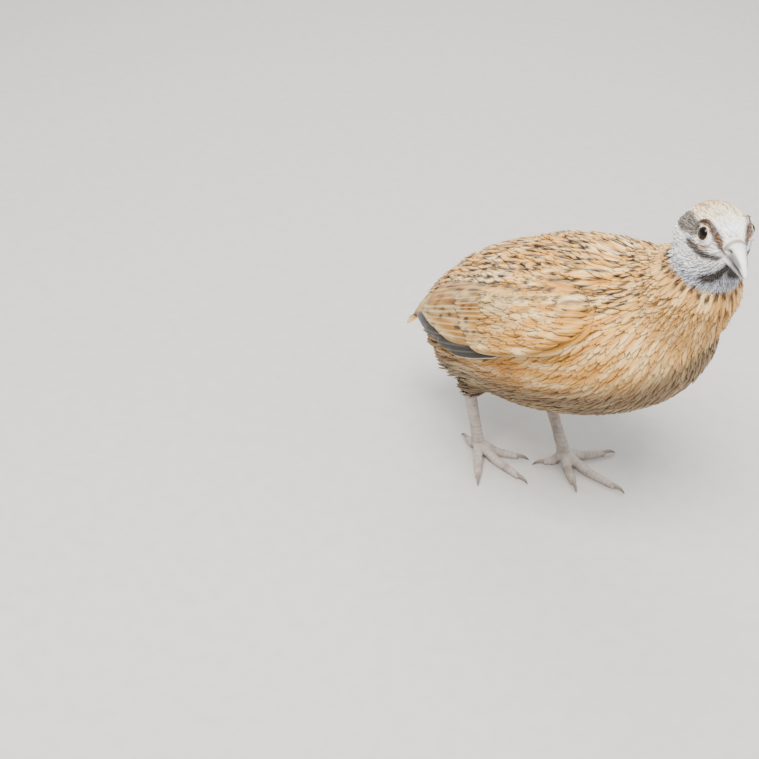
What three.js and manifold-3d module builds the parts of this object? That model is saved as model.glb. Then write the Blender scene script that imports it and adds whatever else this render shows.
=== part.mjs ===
// A life-size standing coturnix quail, golden with a pale face, in millimetres.
// +X is forward, +Y is the bird's left and +Z is up. The floor is z = 0.
// The trunk is one smooth loft, and the wings lie on that loft's own surface, so a change to the
// trunk's stations carries them along.

import * as THREE from "three";
import { mergeVertices } from "three/addons/utils/BufferGeometryUtils.js";
import Module from "manifold-3d";

const wasm = await Module();
wasm.setup();

const GAP = 0.3; // clear space between parts that touch
const DEG = Math.PI / 180;
const FORWARD = new THREE.Vector3(1, 0, 0);
const LEFT = new THREE.Vector3(0, 1, 0);
const UP = new THREE.Vector3(0, 0, 1);

const GOLD = 0xd8b07a;
const PALE = 0xeee4d6;
const HORN = 0xcfc3b4;
const SKIN = 0xd9bfa6;
const DARK = 0x1d120d;

// The trunk: a straight axis through TRUNK_AT, raised in front by TRUNK_PITCH.
const TRUNK_AT = new THREE.Vector3(-12, 0, 68);
const TRUNK_PITCH = 16 * DEG;
const TRUNK_SIDES = 36;
const TRUNK_RINGS = 24;
const HALVINGS = 24; // steps of the search for a place along the trunk
// Each station: place along the axis, half width, height above the axis, depth below it.
const TRUNK_STATIONS = [
  [-61, 2.5, -1, 6],
  [-57, 8.5, 4, 12],
  [-48, 17, 12, 21],
  [-36, 25, 19.5, 28.5],
  [-20, 30.5, 25.5, 33],
  [-2, 33, 29, 35.5],
  [16, 33.3, 30, 35],
  [32, 31.3, 28, 31.5],
  [44, 27, 24.5, 27],
  [54, 20, 18.5, 20],
  [61, 11, 10.5, 11],
  [64, 3, 3, 3],
];

// The neck: its middle line from deep in the trunk into the head, and its half width and half depth there.
const NECK_RINGS = 8;
const NECK_SIDES = 26;
const NECK_STATIONS = [
  [16, 0, 74, 27, 28],
  [29, -1, 88, 22, 23.5],
  [39, -4, 100, 16.2, 17.2],
  [44, -6, 110, 13, 13.6],
  [46, -7, 120, 9, 9],
];
// The collar, where the pale face ends: a slanting plane across the neck.
const COLLAR_AT = new THREE.Vector3(41, -6, 113);
const COLLAR_NORMAL = new THREE.Vector3(0.28, -0.1, 1);

// The head, in its own frame: +X towards the bill, +Y left, +Z up.
const HEAD_AT = new THREE.Vector3(47.3, -7.1, 122.8);
const HEAD_YAW = -37 * DEG;
const HEAD_PITCH = -3 * DEG; // below zero, the bill is raised
const HEAD_SIDES = 24;
const HEAD_RINGS = 18;
// Each station: place along the head, half width, top, bottom.
const HEAD_STATIONS = [
  [-14.6, 2.2, 3, -3.5],
  [-13.3, 5.8, 5.8, -7.2],
  [-10.6, 8.8, 8.8, -10.4],
  [-6.5, 10.9, 10.8, -12.4],
  [-1.5, 11, 11.3, -12.4],
  [3.2, 9.6, 10.9, -10.8],
  [7, 7.7, 9.2, -8.2],
  [9.6, 5.6, 7.1, -5.2],
  [11.2, 3, 4.7, -2],
];

// The eyes and their lids, in the head's frame.
const EYE_AT = new THREE.Vector3(4, 5.5, 4.5);
const EYE_RADIUS = 3.7;
const EYE_FACETS = [14, 9];
const EYE_LOOK = new THREE.Vector3(0.38, 1, 0.3); // out of the left eye's opening
const LID_OUT = 2.4; // how far from the eye's middle the rim of the lids lies
const LID_RADIUS = 2.85;
const LID_TALL = 1.08; // the rim is a little longer fore and aft than it is tall
const LID_THICK = 0.65;
const LID_FACETS = [6, 16];

// The bill, in the head's frame. Each station: place along, height of the middle, half width, half height.
const BILL_RINGS = 10;
const BILL_SIDES = 12;
const UPPER_BILL = [
  [6.8, 2.8, 3.9, 2.9],
  [10, 2.6, 3.5, 2.7],
  [13, 1.6, 2.7, 2.25],
  [16, 0, 1.9, 1.7],
  [18.4, -1.8, 1.05, 1.1],
  [19.6, -3.1, 0.4, 0.45],
];
const LOWER_BILL = [
  [6.8, -0.8, 3.6, 1.7],
  [10, -1, 3.1, 1.6],
  [13, -1.7, 2.4, 1.35],
  [16, -2.8, 1.5, 1],
  [17.9, -3.9, 0.5, 0.5],
];
const NOSTRIL_AT = new THREE.Vector3(12, 2.8, 2.8);
const NOSTRIL_SIZE = new THREE.Vector3(1.4, 0.7, 0.55);
const NOSTRIL_SLOPE = 20 * DEG;
const NOSTRIL_FACETS = [10, 6];
// The line of the mouth goes on into the cheek as a groove, through these points of the left side.
const GAPE_LINE = [
  [11.6, 2.8, 0],
  [9.6, 4.9, -0.6],
  [7.4, 7.3, -1.3],
];
const GAPE_WIDTH = 0.5;
const GAPE_FACETS = [6, 6];

// The legs. Each foot's joint is where its toes meet, and the toes' turns are from straight ahead.
const JOINT_HEIGHT = 4.6;
const HOCK_HEIGHT = 29.5;
const TOE_STUB = 6.8; // how far from the joint each front toe is parted from the foot
const HIND_STUB = 3;
const TOE_SLOPE = 2.9; // height of a toe's middle a quarter of the way along, where it comes down to the floor
const TOE_TIP = 0.85; // height of its middle at its end
const LEGS = {
  left: {
    hip: [-8, 13, 56],
    hock: [-18.6, 9.5],
    joint: [-5.2, 6.6],
    toes: {
      inner: { turn: -40, length: 14.5 },
      middle: { turn: -1, length: 24 },
      outer: { turn: 56, length: 17.5 },
      hind: { turn: -128, length: 8, stub: HIND_STUB },
    },
  },
  right: {
    hip: [-20, -13, 56],
    hock: [-38.6, -12.4],
    joint: [-34.2, -10.8],
    toes: {
      inner: { turn: 26, length: 16 },
      middle: { turn: -7, length: 22.5 },
      outer: { turn: -52, length: 17 },
      hind: { turn: 160, length: 8, stub: HIND_STUB },
    },
  },
};
const THIGH_RADII = [13, 11, 6.5, 3.4];
const THIGH_RINGS = 7;
const THIGH_SIDES = 16;
const SHANK_RADII = [2.5, 2.0, 1.8, 1.9, 2.5];
const SHANK_DEPTH = 1.15; // fore and aft, as a share of the width
const SHANK_RINGS = 6;
const SHANK_SIDES = 10;
const TOE_RADII = [2.1, 1.75, 1.7, 1.45, 1.15];
const TOE_RINGS = 7;
const TOE_SIDES = 8;
const TOE_REST = 1.25; // height of a toe's middle where it lies on the floor, so that its sole is flat
const CLAW_ROOT = 0.9; // how far back of a toe's end its claw starts
const CLAW_LENGTH = 4.6;
const CLAW_RADII = [1, 0.75, 0.22];
const CLAW_HEIGHTS = [1.15, 1.45, 0.3]; // at its root, its middle and its point
const CLAW_RINGS = 4;
const CLAW_SIDES = 8;

// The folded wings: a thin bed on the side of the trunk, from the shoulder to near the tip, with the
// feathers laid over it in tiers. Each station: place along the trunk's axis, degrees up from the side
// line, half width.
const WING_LIFT = 0.45;
const WING_THICK = 1.5;
const WING_RINGS = 12;
const WING_SIDES = 12;
const WING_STATIONS = [
  [36, 30, 4],
  [31, 30, 9],
  [18, 30, 14],
  [0, 29, 15],
  [-16, 25, 12],
  [-30, 17, 8],
  [-40, 10, 4.5],
  [-45, 7, 1.6],
];
// The tiers of the wing, lowest first. Each runs from its first feather to its last, and each end is
// [place along the axis, degrees up]. Rise is the height over the trunk at the root and at the tip.
const WING_TIERS = [
  { count: 6, roots: [[4, 6], [-10, 16]], tips: [[-21, 1], [-50, 6]], wide: 3.2, rise: [1.1, 1.9] },
  { count: 6, roots: [[12, 12], [-4, 32]], tips: [[-27, 9], [-42, 26]], wide: 4.2, rise: [1.4, 2.5] },
  { count: 3, roots: [[6, 36], [-2, 50]], tips: [[-40, 26], [-34, 44]], wide: 5.6, rise: [1.7, 3.1] },
  { count: 6, roots: [[16, 8], [10, 50]], tips: [[-7, 6], [-14, 45]], wide: 5, rise: [1.9, 3.2] },
  { count: 6, roots: [[27, 12], [22, 52]], tips: [[8, 8], [3, 50]], wide: 5, rise: [1.7, 3.2] },
  { count: 4, roots: [[36, 24], [33, 44]], tips: [[21, 14], [17, 50]], wide: 5, rise: [1.1, 2.8] },
];

// A feather's blade: share of its length, and share of its half width there.
const BLADE = [
  [0, 0.6],
  [0.45, 1],
  [0.82, 0.85],
  [1, 0.25],
];
const BLADE_THICK = 1; // at the ridge along its middle
const FEATHER_DRIFT = 0.8; // how far a feather strays along and round the trunk
const FEATHER_STIR = 0.15; // and up or down at its tip
const SEED = 41;

// The tail: a short drooping core, and its feathers fanned over and under it.
// Each station of the core: place along it, half width, half height.
const TAIL_FROM = new THREE.Vector3(-54, 0, 65);
const TAIL_DROOP = 45 * DEG;
const TAIL_RINGS = 5;
const TAIL_SIDES = 14;
const TAIL_STATIONS = [
  [0, 8, 5],
  [9, 10.5, 6.5],
  [17, 10.5, 5],
  [24, 8.5, 2.6],
  [28, 6, 1],
];
// Each tier of the tail: how many feathers, the spread of their turns, where they start, their length,
// half width, height over the tail's middle plane, and how much lower the outer ones lie.
const TAIL_TIERS = [
  { count: 10, spread: 30, from: 8, length: 28, wide: 3.3, rise: 0, roof: 2.2 },
  { count: 5, spread: 30, from: 3, length: 24, wide: 4.4, rise: 2.6, roof: 2.6 },
  { count: 4, spread: 24, from: 6, length: 21, wide: 4.2, rise: -2.6, roof: -0.5 },
];

// A smooth curve through the rows of a table, read at share t of the way along it.
function row(table, t) {
  const last = table.length - 1;
  const place = THREE.MathUtils.clamp(t, 0, 1) * last;
  const i = Math.min(Math.floor(place), last - 1);
  const f = place - i;
  const at = (k) => table[THREE.MathUtils.clamp(k, 0, last)];
  return table[0].map((_, c) => {
    const [a, b, d, e] = [at(i - 1)[c], at(i)[c], at(i + 1)[c], at(i + 2)[c]];
    return b + 0.5 * f * (d - a + f * (2 * a - 5 * b + 4 * d - e + f * (3 * (b - d) + e - a)));
  });
}

// The volume inside a closed triangle mesh, negative when its faces point inwards.
function signedVolume(points, faces) {
  let six = 0;
  for (let i = 0; i < faces.length; i += 3) {
    const [a, b, c] = [points[faces[i]], points[faces[i + 1]], points[faces[i + 2]]];
    six += a.dot(new THREE.Vector3().crossVectors(b, c));
  }
  return six / 6;
}

// Closed geometry from rings of points, each end closed by a fan to its own middle, its faces pointing out.
function closedRings(rings) {
  const n = rings[0].length;
  const points = rings.flat();
  const faces = [];
  for (let r = 0; r + 1 < rings.length; r++) {
    for (let k = 0; k < n; k++) {
      const [a, b] = [r * n + k, r * n + ((k + 1) % n)];
      faces.push(a, b, b + n, a, b + n, a + n);
    }
  }
  for (const [first, turned] of [[0, true], [(rings.length - 1) * n, false]]) {
    const middle = new THREE.Vector3();
    for (let k = 0; k < n; k++) middle.add(points[first + k]);
    points.push(middle.divideScalar(n));
    for (let k = 0; k < n; k++) {
      const [a, b] = [first + k, first + ((k + 1) % n)];
      faces.push(...(turned ? [b, a] : [a, b]), points.length - 1);
    }
  }
  if (signedVolume(points, faces) < 0) {
    for (let i = 0; i < faces.length; i += 3) [faces[i + 1], faces[i + 2]] = [faces[i + 2], faces[i + 1]];
  }
  return new THREE.BufferGeometry()
    .setAttribute("position", new THREE.Float32BufferAttribute(points.flatMap((p) => p.toArray()), 3))
    .setIndex(faces);
}

// Rings made by a function of the share along the form and the angle round it.
function loft(count, sides, pointAt) {
  return closedRings(
    Array.from({ length: count + 1 }, (_, i) =>
      Array.from({ length: sides }, (_, k) => pointAt(i / count, (k / sides) * 2 * Math.PI)),
    ),
  );
}

// A closed geometry as a solid that can be joined and cut.
function solid(geometry) {
  const bare = geometry.clone();
  bare.deleteAttribute("normal");
  bare.deleteAttribute("uv");
  const merged = mergeVertices(bare, 1e-4);
  return new wasm.Manifold(
    new wasm.Mesh({
      numProp: 3,
      vertProperties: new Float32Array(merged.attributes.position.array),
      triVerts: new Uint32Array(merged.index.array),
    }),
  );
}

// The largest closed body of a solid.
function largest(made) {
  return made.decompose().reduce((best, body) => (body.volume() > best.volume() ? body : best));
}

function geometryOf(made) {
  const { numProp, numVert, vertProperties, triVerts } = made.getMesh();
  const points = new Float32Array(numVert * 3);
  for (let i = 0; i < numVert; i++) {
    points.set(vertProperties.subarray(i * numProp, i * numProp + 3), i * 3);
  }
  return new THREE.BufferGeometry()
    .setAttribute("position", new THREE.BufferAttribute(points, 3))
    .setIndex(new THREE.BufferAttribute(triVerts, 1));
}

// The piece of a solid that lies beyond a plane, on the side of its normal and half the gap clear of it.
function beyond(made, at, normal) {
  const n = normal.clone().normalize();
  return made.trimByPlane(n.toArray(), n.dot(at) + GAP / 2);
}

// A tube of round rings along a smooth path, with radii read evenly along it.
function tube(path, radii, rings, sides, depth = 1) {
  const curve = new THREE.CatmullRomCurve3(path);
  const table = radii.map((radius) => [radius]);
  return loft(rings, sides, (t, angle) => {
    const along = curve.getTangent(t);
    const side = new THREE.Vector3().crossVectors(Math.abs(along.z) > 0.5 ? FORWARD : UP, along).normalize();
    const front = new THREE.Vector3().crossVectors(along, side);
    const [radius] = row(table, t);
    return curve
      .getPoint(t)
      .addScaledVector(side, Math.cos(angle) * radius)
      .addScaledVector(front, Math.sin(angle) * radius * depth);
  });
}

const TRUNK_FORWARD = new THREE.Vector3(Math.cos(TRUNK_PITCH), 0, Math.sin(TRUNK_PITCH));
const TRUNK_UP = new THREE.Vector3(-Math.sin(TRUNK_PITCH), 0, Math.cos(TRUNK_PITCH));

// A point on the trunk at share t from rump to breast, and at an angle from the bird's left up over its back.
function trunkPoint(t, angle, lift = 0) {
  const [along, wide, above, below] = row(TRUNK_STATIONS, t);
  const longer = 1 + lift / TRUNK_STATIONS.at(-1)[0];
  const [c, s] = [Math.cos(angle), Math.sin(angle)];
  return TRUNK_AT.clone()
    .addScaledVector(TRUNK_FORWARD, along * longer)
    .addScaledVector(LEFT, c * (wide + lift))
    .addScaledVector(TRUNK_UP, s * ((s > 0 ? above : below) + lift));
}

function trunk(lift = 0) {
  return loft(TRUNK_RINGS, TRUNK_SIDES, (t, angle) => trunkPoint(t, angle, lift));
}

// The share of the way along the trunk at which its axis reaches a place.
function trunkShare(along) {
  let [low, high] = [0, 1];
  for (let i = 0; i < HALVINGS; i++) {
    const middle = (low + high) / 2;
    if (row(TRUNK_STATIONS, middle)[0] < along) low = middle;
    else high = middle;
  }
  return low;
}

// A point over the trunk's surface: place along its axis, degrees up from the side line, and lift.
function overTrunk(side, along, degrees, lift) {
  const angle = side > 0 ? degrees * DEG : Math.PI - degrees * DEG;
  return trunkPoint(trunkShare(along), angle, lift);
}

// Repeatable random numbers between -1 and 1.
function draws(seed) {
  let state = seed;
  return () => {
    state = (state * 16807) % 2147483647;
    return (state / 2147483647) * 2 - 1;
  };
}

// A feather's blade, diamond in section, from a function of the share of its length, the distance out
// from its middle line and the height over its own plane.
function blade(pointAt, wide) {
  const corners = [[1, 0], [0, 0.5], [-1, 0], [0, -0.5]];
  return closedRings(
    BLADE.map(([share, girth]) =>
      corners.map(([out, up]) => pointAt(share, out * girth * wide, up * BLADE_THICK)),
    ),
  );
}

// One feather of the wing, laid over the trunk from its root to its tip.
function wingFeather(side, root, tip, wide, rise) {
  const girth = row(TRUNK_STATIONS, trunkShare((root[0] + tip[0]) / 2))[1] * DEG;
  const run = new THREE.Vector2(tip[0] - root[0], (tip[1] - root[1]) * girth);
  const across = new THREE.Vector2(-run.y, run.x).normalize();
  return blade((share, out, up) => {
    const along = root[0] + run.x * share + across.x * out;
    const degrees = root[1] + (run.y * share + across.y * out) / girth;
    return overTrunk(side, along, degrees, THREE.MathUtils.lerp(...rise, share) + up);
  }, wide);
}

function wingBed(side) {
  return loft(WING_RINGS, WING_SIDES, (t, angle) => {
    const [along, degrees, wide] = row(WING_STATIONS, t);
    const girth = row(TRUNK_STATIONS, trunkShare(along))[1];
    const across = (Math.cos(angle) * wide) / girth / DEG;
    const thick = Math.max(Math.sin(angle), 0) * WING_THICK;
    return overTrunk(side, along, degrees + across, WING_LIFT + thick);
  });
}

function wing(side) {
  const draw = draws(SEED);
  const feathers = WING_TIERS.flatMap(({ count, roots, tips, wide, rise }) =>
    Array.from({ length: count }, (_, i) => {
      const share = i / (count - 1);
      const between = ([from, to]) => [
        THREE.MathUtils.lerp(from[0], to[0], share) + draw() * FEATHER_DRIFT,
        THREE.MathUtils.lerp(from[1], to[1], share) + draw() * FEATHER_DRIFT,
      ];
      const lift = draw() * FEATHER_STIR;
      return solid(wingFeather(side, between(roots), between(tips), wide, [rise[0], rise[1] + lift]));
    }),
  );
  return largest(wasm.Manifold.union([solid(wingBed(side)), ...feathers]));
}

function tail() {
  const along = new THREE.Vector3(-Math.cos(TAIL_DROOP), 0, -Math.sin(TAIL_DROOP));
  const over = new THREE.Vector3(-Math.sin(TAIL_DROOP), 0, Math.cos(TAIL_DROOP));
  const place = (reach, out, up) =>
    TAIL_FROM.clone().addScaledVector(along, reach).addScaledVector(LEFT, out).addScaledVector(over, up);
  const core = loft(TAIL_RINGS, TAIL_SIDES, (t, angle) => {
    const [reach, wide, high] = row(TAIL_STATIONS, t);
    return place(reach, Math.cos(angle) * wide, Math.sin(angle) * high);
  });
  const feathers = TAIL_TIERS.flatMap(({ count, spread, from, length, wide, rise, roof }) =>
    Array.from({ length: count }, (_, i) => {
      const off = (2 * i) / (count - 1) - 1;
      const [c, s] = [Math.cos((off * spread * DEG) / 2), Math.sin((off * spread * DEG) / 2)];
      const reach = length * (1 - 0.12 * off * off);
      const low = rise - roof * Math.abs(off);
      return solid(
        blade(
          (share, out, up) => place(from + share * reach * c - out * s, share * reach * s + out * c, low + up),
          wide,
        ),
      );
    }),
  );
  return largest(wasm.Manifold.union([solid(core), ...feathers]).subtract(solid(trunk(GAP))));
}

// A point of an ellipse across a frame's X axis, from a row of place along, half width, top and bottom.
function ellipsePoint([along, wide, top, bottom], angle, grown = 0) {
  const middle = (top + bottom) / 2;
  const high = (top - bottom) / 2 + grown;
  return new THREE.Vector3(along, Math.cos(angle) * (wide + grown), middle + Math.sin(angle) * high);
}

const HEAD_FRAME = new THREE.Matrix4()
  .makeRotationFromEuler(new THREE.Euler(0, HEAD_PITCH, HEAD_YAW, "ZYX"))
  .setPosition(HEAD_AT);

function skull(grown = 0) {
  const longer = 1 + grown / HEAD_STATIONS.at(-1)[0];
  return loft(HEAD_RINGS, HEAD_SIDES, (t, angle) =>
    ellipsePoint(row(HEAD_STATIONS, t), angle, grown).multiply(new THREE.Vector3(longer, 1, 1)),
  );
}

function neckTube() {
  const curve = new THREE.CatmullRomCurve3(NECK_STATIONS.map(([x, y, z]) => new THREE.Vector3(x, y, z)));
  return loft(NECK_RINGS, NECK_SIDES, (t, angle) => {
    const along = curve.getTangent(t);
    const side = new THREE.Vector3().crossVectors(UP, along).normalize();
    const front = new THREE.Vector3().crossVectors(along, side);
    const [, , , wide, deep] = row(NECK_STATIONS, t);
    return curve
      .getPoint(t)
      .addScaledVector(side, Math.cos(angle) * wide)
      .addScaledVector(front, Math.sin(angle) * deep);
  });
}

// Both halves of the bill, which meet along the line of the mouth and stop short of the face.
function bill() {
  const half = (table) =>
    solid(
      loft(BILL_RINGS, BILL_SIDES, (t, angle) => {
        const [along, middle, wide, high] = row(table, t);
        return ellipsePoint([along, wide, middle + high, middle - high], angle);
      }),
    );
  const face = solid(skull(GAP));
  const whole = half(UPPER_BILL);
  const upper = [1, -1].reduce((made, side) => {
    const hole = new THREE.SphereGeometry(1, ...NOSTRIL_FACETS)
      .scale(...NOSTRIL_SIZE.toArray())
      .rotateY(NOSTRIL_SLOPE)
      .translate(NOSTRIL_AT.x, NOSTRIL_AT.y * side, NOSTRIL_AT.z);
    return made.subtract(solid(hole));
  }, whole);
  const lower = half(LOWER_BILL).subtract(whole.add(whole.translate([0, 0, -GAP])));
  return { upper: largest(upper.subtract(face)), lower: largest(lower.subtract(face)) };
}

function eyeBall(side, grown = 0) {
  const radius = EYE_RADIUS + grown;
  return new THREE.SphereGeometry(radius, ...EYE_FACETS).translate(EYE_AT.x, EYE_AT.y * side, EYE_AT.z);
}

// The raised rim of the lids round one eye's opening.
function lids(side) {
  const look = EYE_LOOK.clone().setY(EYE_LOOK.y * side).normalize();
  const turn = new THREE.Quaternion().setFromUnitVectors(UP, look);
  const at = EYE_AT.clone().setY(EYE_AT.y * side).addScaledVector(look, LID_OUT);
  return new THREE.TorusGeometry(LID_RADIUS, LID_THICK, ...LID_FACETS)
    .scale(LID_TALL, 1, 1)
    .applyQuaternion(turn)
    .translate(...at.toArray());
}

// The head, with its lids and mouth line, and the neck, parted at the collar.
function headAndNeck() {
  let face = solid(skull());
  for (const side of [1, -1]) {
    const gape = GAPE_LINE.map(([x, y, z]) => new THREE.Vector3(x, y * side, z));
    face = face
      .add(solid(lids(side)))
      .subtract(solid(eyeBall(side, GAP)))
      .subtract(solid(tube(gape, [GAPE_WIDTH, GAPE_WIDTH, GAPE_WIDTH / 2], ...GAPE_FACETS)));
  }
  const { upper, lower } = bill();
  const placed = (made) => made.transform(HEAD_FRAME.elements);
  const neck = solid(neckTube());
  return {
    head: largest(beyond(placed(face).add(neck), COLLAR_AT, COLLAR_NORMAL)),
    neck: largest(
      beyond(neck, COLLAR_AT, COLLAR_NORMAL.clone().negate()).subtract(solid(trunk(GAP))),
    ),
    bill_upper: placed(upper),
    bill_lower: placed(lower),
  };
}

// One toe from the foot's joint to its end, lying on the floor, and its claw.
function toe(joint, { turn, length, stub = TOE_STUB }) {
  const heading = new THREE.Vector3(Math.cos(turn * DEG), Math.sin(turn * DEG), 0);
  const at = (reach, height) =>
    new THREE.Vector3(joint[0], joint[1], height).addScaledVector(heading, reach);
  const path = [
    at(0, JOINT_HEIGHT),
    at(length * 0.25, TOE_SLOPE),
    at(length * 0.5, TOE_REST),
    at(length * 0.8, TOE_REST),
    at(length, TOE_TIP),
  ];
  const whole = solid(tube(path, TOE_RADII, TOE_RINGS, TOE_SIDES)).trimByPlane(UP.toArray(), 0);
  const back = heading.clone().negate();
  const [parting, end] = [at(stub, 0), at(length - CLAW_ROOT, 0)];
  const claw = [
    at(length - CLAW_ROOT - 1, CLAW_HEIGHTS[0]),
    at(length + CLAW_LENGTH * 0.4, CLAW_HEIGHTS[1]),
    at(length + CLAW_LENGTH, CLAW_HEIGHTS[2]),
  ];
  return {
    root: beyond(whole, parting, back),
    toe: beyond(beyond(whole, parting, heading), end, back),
    claw: beyond(solid(tube(claw, CLAW_RADII, CLAW_RINGS, CLAW_SIDES)), end, heading),
  };
}

// One leg: the feathered thigh below the trunk, and the shank with the roots of its toes.
function leg({ hip, hock, joint, toes }) {
  const hockAt = new THREE.Vector3(hock[0], hock[1], HOCK_HEIGHT);
  const jointAt = new THREE.Vector3(joint[0], joint[1], JOINT_HEIGHT);
  const hipAt = new THREE.Vector3(...hip);
  const thigh = solid(
    tube([hipAt, hipAt.clone().lerp(hockAt, 0.5), hockAt], THIGH_RADII, THIGH_RINGS, THIGH_SIDES),
  );
  const down = jointAt.clone().sub(hockAt);
  const path = [hockAt.clone().addScaledVector(down, -0.05), hockAt.clone().addScaledVector(down, 0.5), jointAt];
  const shank = beyond(
    solid(tube(path, SHANK_RADII, SHANK_RINGS, SHANK_SIDES, SHANK_DEPTH)),
    hockAt,
    down,
  );
  const made = Object.entries(toes).map(([name, sizes]) => [name, toe(joint, sizes)]);
  return {
    thigh: largest(beyond(thigh.subtract(solid(trunk(GAP))), hockAt, down.clone().negate())),
    shank: largest(made.reduce((foot, [, { root }]) => foot.add(root), shank)),
    toes: made,
  };
}

const quail = new THREE.Group();

function show(name, form, colour, roughness = 0.85) {
  const geometry = form.isBufferGeometry ? form : geometryOf(form);
  const mesh = new THREE.Mesh(geometry, new THREE.MeshStandardMaterial({ color: colour, roughness }));
  mesh.name = name;
  quail.add(mesh);
}

show("torso", trunk(), GOLD);
show("tail", tail(), GOLD);
const face = headAndNeck();
show("neck", face.neck, GOLD);
show("head", face.head, PALE);
show("bill_upper", face.bill_upper, HORN, 0.45);
show("bill_lower", face.bill_lower, HORN, 0.45);
for (const [name, side] of [["left", 1], ["right", -1]]) {
  show("wing_" + name, wing(side), GOLD);
  show("eye_" + name, eyeBall(side).applyMatrix4(HEAD_FRAME), DARK, 0.1);
  const made = leg(LEGS[name]);
  show("thigh_" + name, made.thigh, GOLD);
  show("shank_" + name, made.shank, SKIN, 0.6);
  for (const [which, { toe: piece, claw }] of made.toes) {
    show(`toe_${name}_${which}`, piece, SKIN, 0.6);
    show(`claw_${name}_${which}`, claw, HORN, 0.5);
  }
}

// The origin is the middle of the bird's box, on the floor.
const middle = new THREE.Box3().setFromObject(quail).getCenter(new THREE.Vector3());
quail.position.set(-middle.x, -middle.y, 0);

export default quail;
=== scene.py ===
"""A life-size coturnix quail, golden with a white face, as a still model on a pale floor.

The skin, feathers, eyes, bill, legs and claws are built here over the frame's solids. Sizes are in
millimetres, measured from the point that the solids' own sizes are measured from, and ORIGIN moves
them to the frame. +X is forward, +Y is the bird's left and +Z is up.
"""

import logging
import math
from dataclasses import dataclass
from enum import Enum
from typing import Any, Callable, Sequence

import bmesh
import bpy
import numpy as np
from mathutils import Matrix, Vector
from mathutils.bvhtree import BVHTree


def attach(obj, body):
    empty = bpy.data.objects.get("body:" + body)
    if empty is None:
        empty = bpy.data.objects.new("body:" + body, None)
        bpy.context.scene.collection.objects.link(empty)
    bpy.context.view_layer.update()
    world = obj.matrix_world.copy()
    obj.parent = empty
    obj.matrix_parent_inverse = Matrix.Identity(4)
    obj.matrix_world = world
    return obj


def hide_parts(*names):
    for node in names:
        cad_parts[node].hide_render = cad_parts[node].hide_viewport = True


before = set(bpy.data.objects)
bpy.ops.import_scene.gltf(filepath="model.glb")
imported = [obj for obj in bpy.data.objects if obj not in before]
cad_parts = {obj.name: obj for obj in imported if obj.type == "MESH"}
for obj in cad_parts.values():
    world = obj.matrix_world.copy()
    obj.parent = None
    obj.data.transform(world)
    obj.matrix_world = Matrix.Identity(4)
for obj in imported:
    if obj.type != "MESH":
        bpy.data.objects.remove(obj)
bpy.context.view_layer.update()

Points = np.ndarray
log = logging.getLogger("quail")

MM = 0.001
ORIGIN = np.array([8.148, 0.0, 0.0])
COAT_LIMIT = 190_000
PATCH = 0.003
HASH = (374761393, 668265263, 2147483647, 1274126177)
WORD = 0xFFFFFFFF
FRACTION = 0xFFFFFF


class Slot(str, Enum):
    """The record's material slots."""

    PLUMAGE = "plumage"
    BILL = "bill"
    EYE = "eye"
    LEG = "leg_skin"
    CLAW = "claw"


class Side(Enum):
    """The bird's two sides, by the sign of Y."""

    LEFT = 1
    RIGHT = -1

    @property
    def word(self) -> str:
        """The side's name as the nodes spell it."""
        return self.name.lower()


def tint(code: str) -> Points:
    """A colour code of six hexadecimal digits as linear red, green and blue."""
    raw = np.array([int(code[i : i + 2], 16) for i in (0, 2, 4)]) / 255
    return np.where(raw <= 0.04045, raw / 12.92, ((raw + 0.055) / 1.055) ** 2.4)


def row(table: Sequence[Sequence[float]], share: Any) -> Points:
    """Read a smooth curve through the rows of a table.

    Args:
        table: The rows, evenly spaced along the curve.
        share: Places along it from 0 to 1.

    Returns:
        One row of values for each place.
    """
    rows = np.asarray(table, float)
    last = len(rows) - 1
    place = np.clip(np.asarray(share, float), 0, 1) * last
    i = np.minimum(np.floor(place).astype(int), last - 1)
    f = (place - i)[..., None]
    a, b, c, d = (rows[np.clip(i + k, 0, last)] for k in (-1, 0, 1, 2))
    return b + 0.5 * f * (c - a + f * (2 * a - 5 * b + 4 * c - d + f * (3 * (b - c) + d - a)))


def unit(vectors: Points) -> Points:
    """Vectors scaled to length one."""
    return vectors / np.maximum(np.linalg.norm(vectors, axis=-1, keepdims=True), 1e-9)


def ramp(values: Any, low: float, high: float) -> Points:
    """A smooth rise from 0 at low to 1 at high, or a fall where high is the smaller."""
    t = np.clip((np.asarray(values, float) - low) / (high - low), 0, 1)
    return t * t * (3 - 2 * t)


def bump(values: Any, middle: float, reach: float) -> Points:
    """A smooth hill, 1 at its middle and 0 beyond its reach."""
    return ramp(np.abs(np.asarray(values, float) - middle), reach, 0)


def blend(first: Points, second: Points, share: Any) -> Points:
    """Mix two colours or points by a share for each."""
    return first + (second - first) * np.asarray(share)[..., None]


def lattice(cells: Points, seed: int) -> Points:
    """A repeatable number for each whole-number cell.

    Args:
        cells: The cells, three numbers each.
        seed: Which scatter.

    Returns:
        A number from 0 to 1 for each cell.
    """
    x, y, z = (cells[..., k].astype(np.int64) for k in range(3))
    h = (x * HASH[0] + y * HASH[1] + z * HASH[2] + seed * HASH[3]) & WORD
    h = ((h ^ (h >> 13)) * HASH[3]) & WORD
    return ((h ^ (h >> 16)) & FRACTION) / FRACTION


def grain(places: Points, size: Any, seed: int) -> Points:
    """Smooth repeatable noise over places.

    Args:
        places: Points, in the units of size.
        size: The size of one cell, or one size for each axis.
        seed: Which noise.

    Returns:
        A number from 0 to 1 for each place.
    """
    scaled = places / np.asarray(size, float)
    low = np.floor(scaled)
    f = scaled - low
    f = f * f * (3 - 2 * f)
    total = np.zeros(places.shape[:-1])
    for corner in np.ndindex(2, 2, 2):
        weight = np.prod(np.where(np.array(corner) == 1, f, 1 - f), axis=-1)
        total += weight * lattice(low + np.array(corner), seed)
    return total


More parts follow.
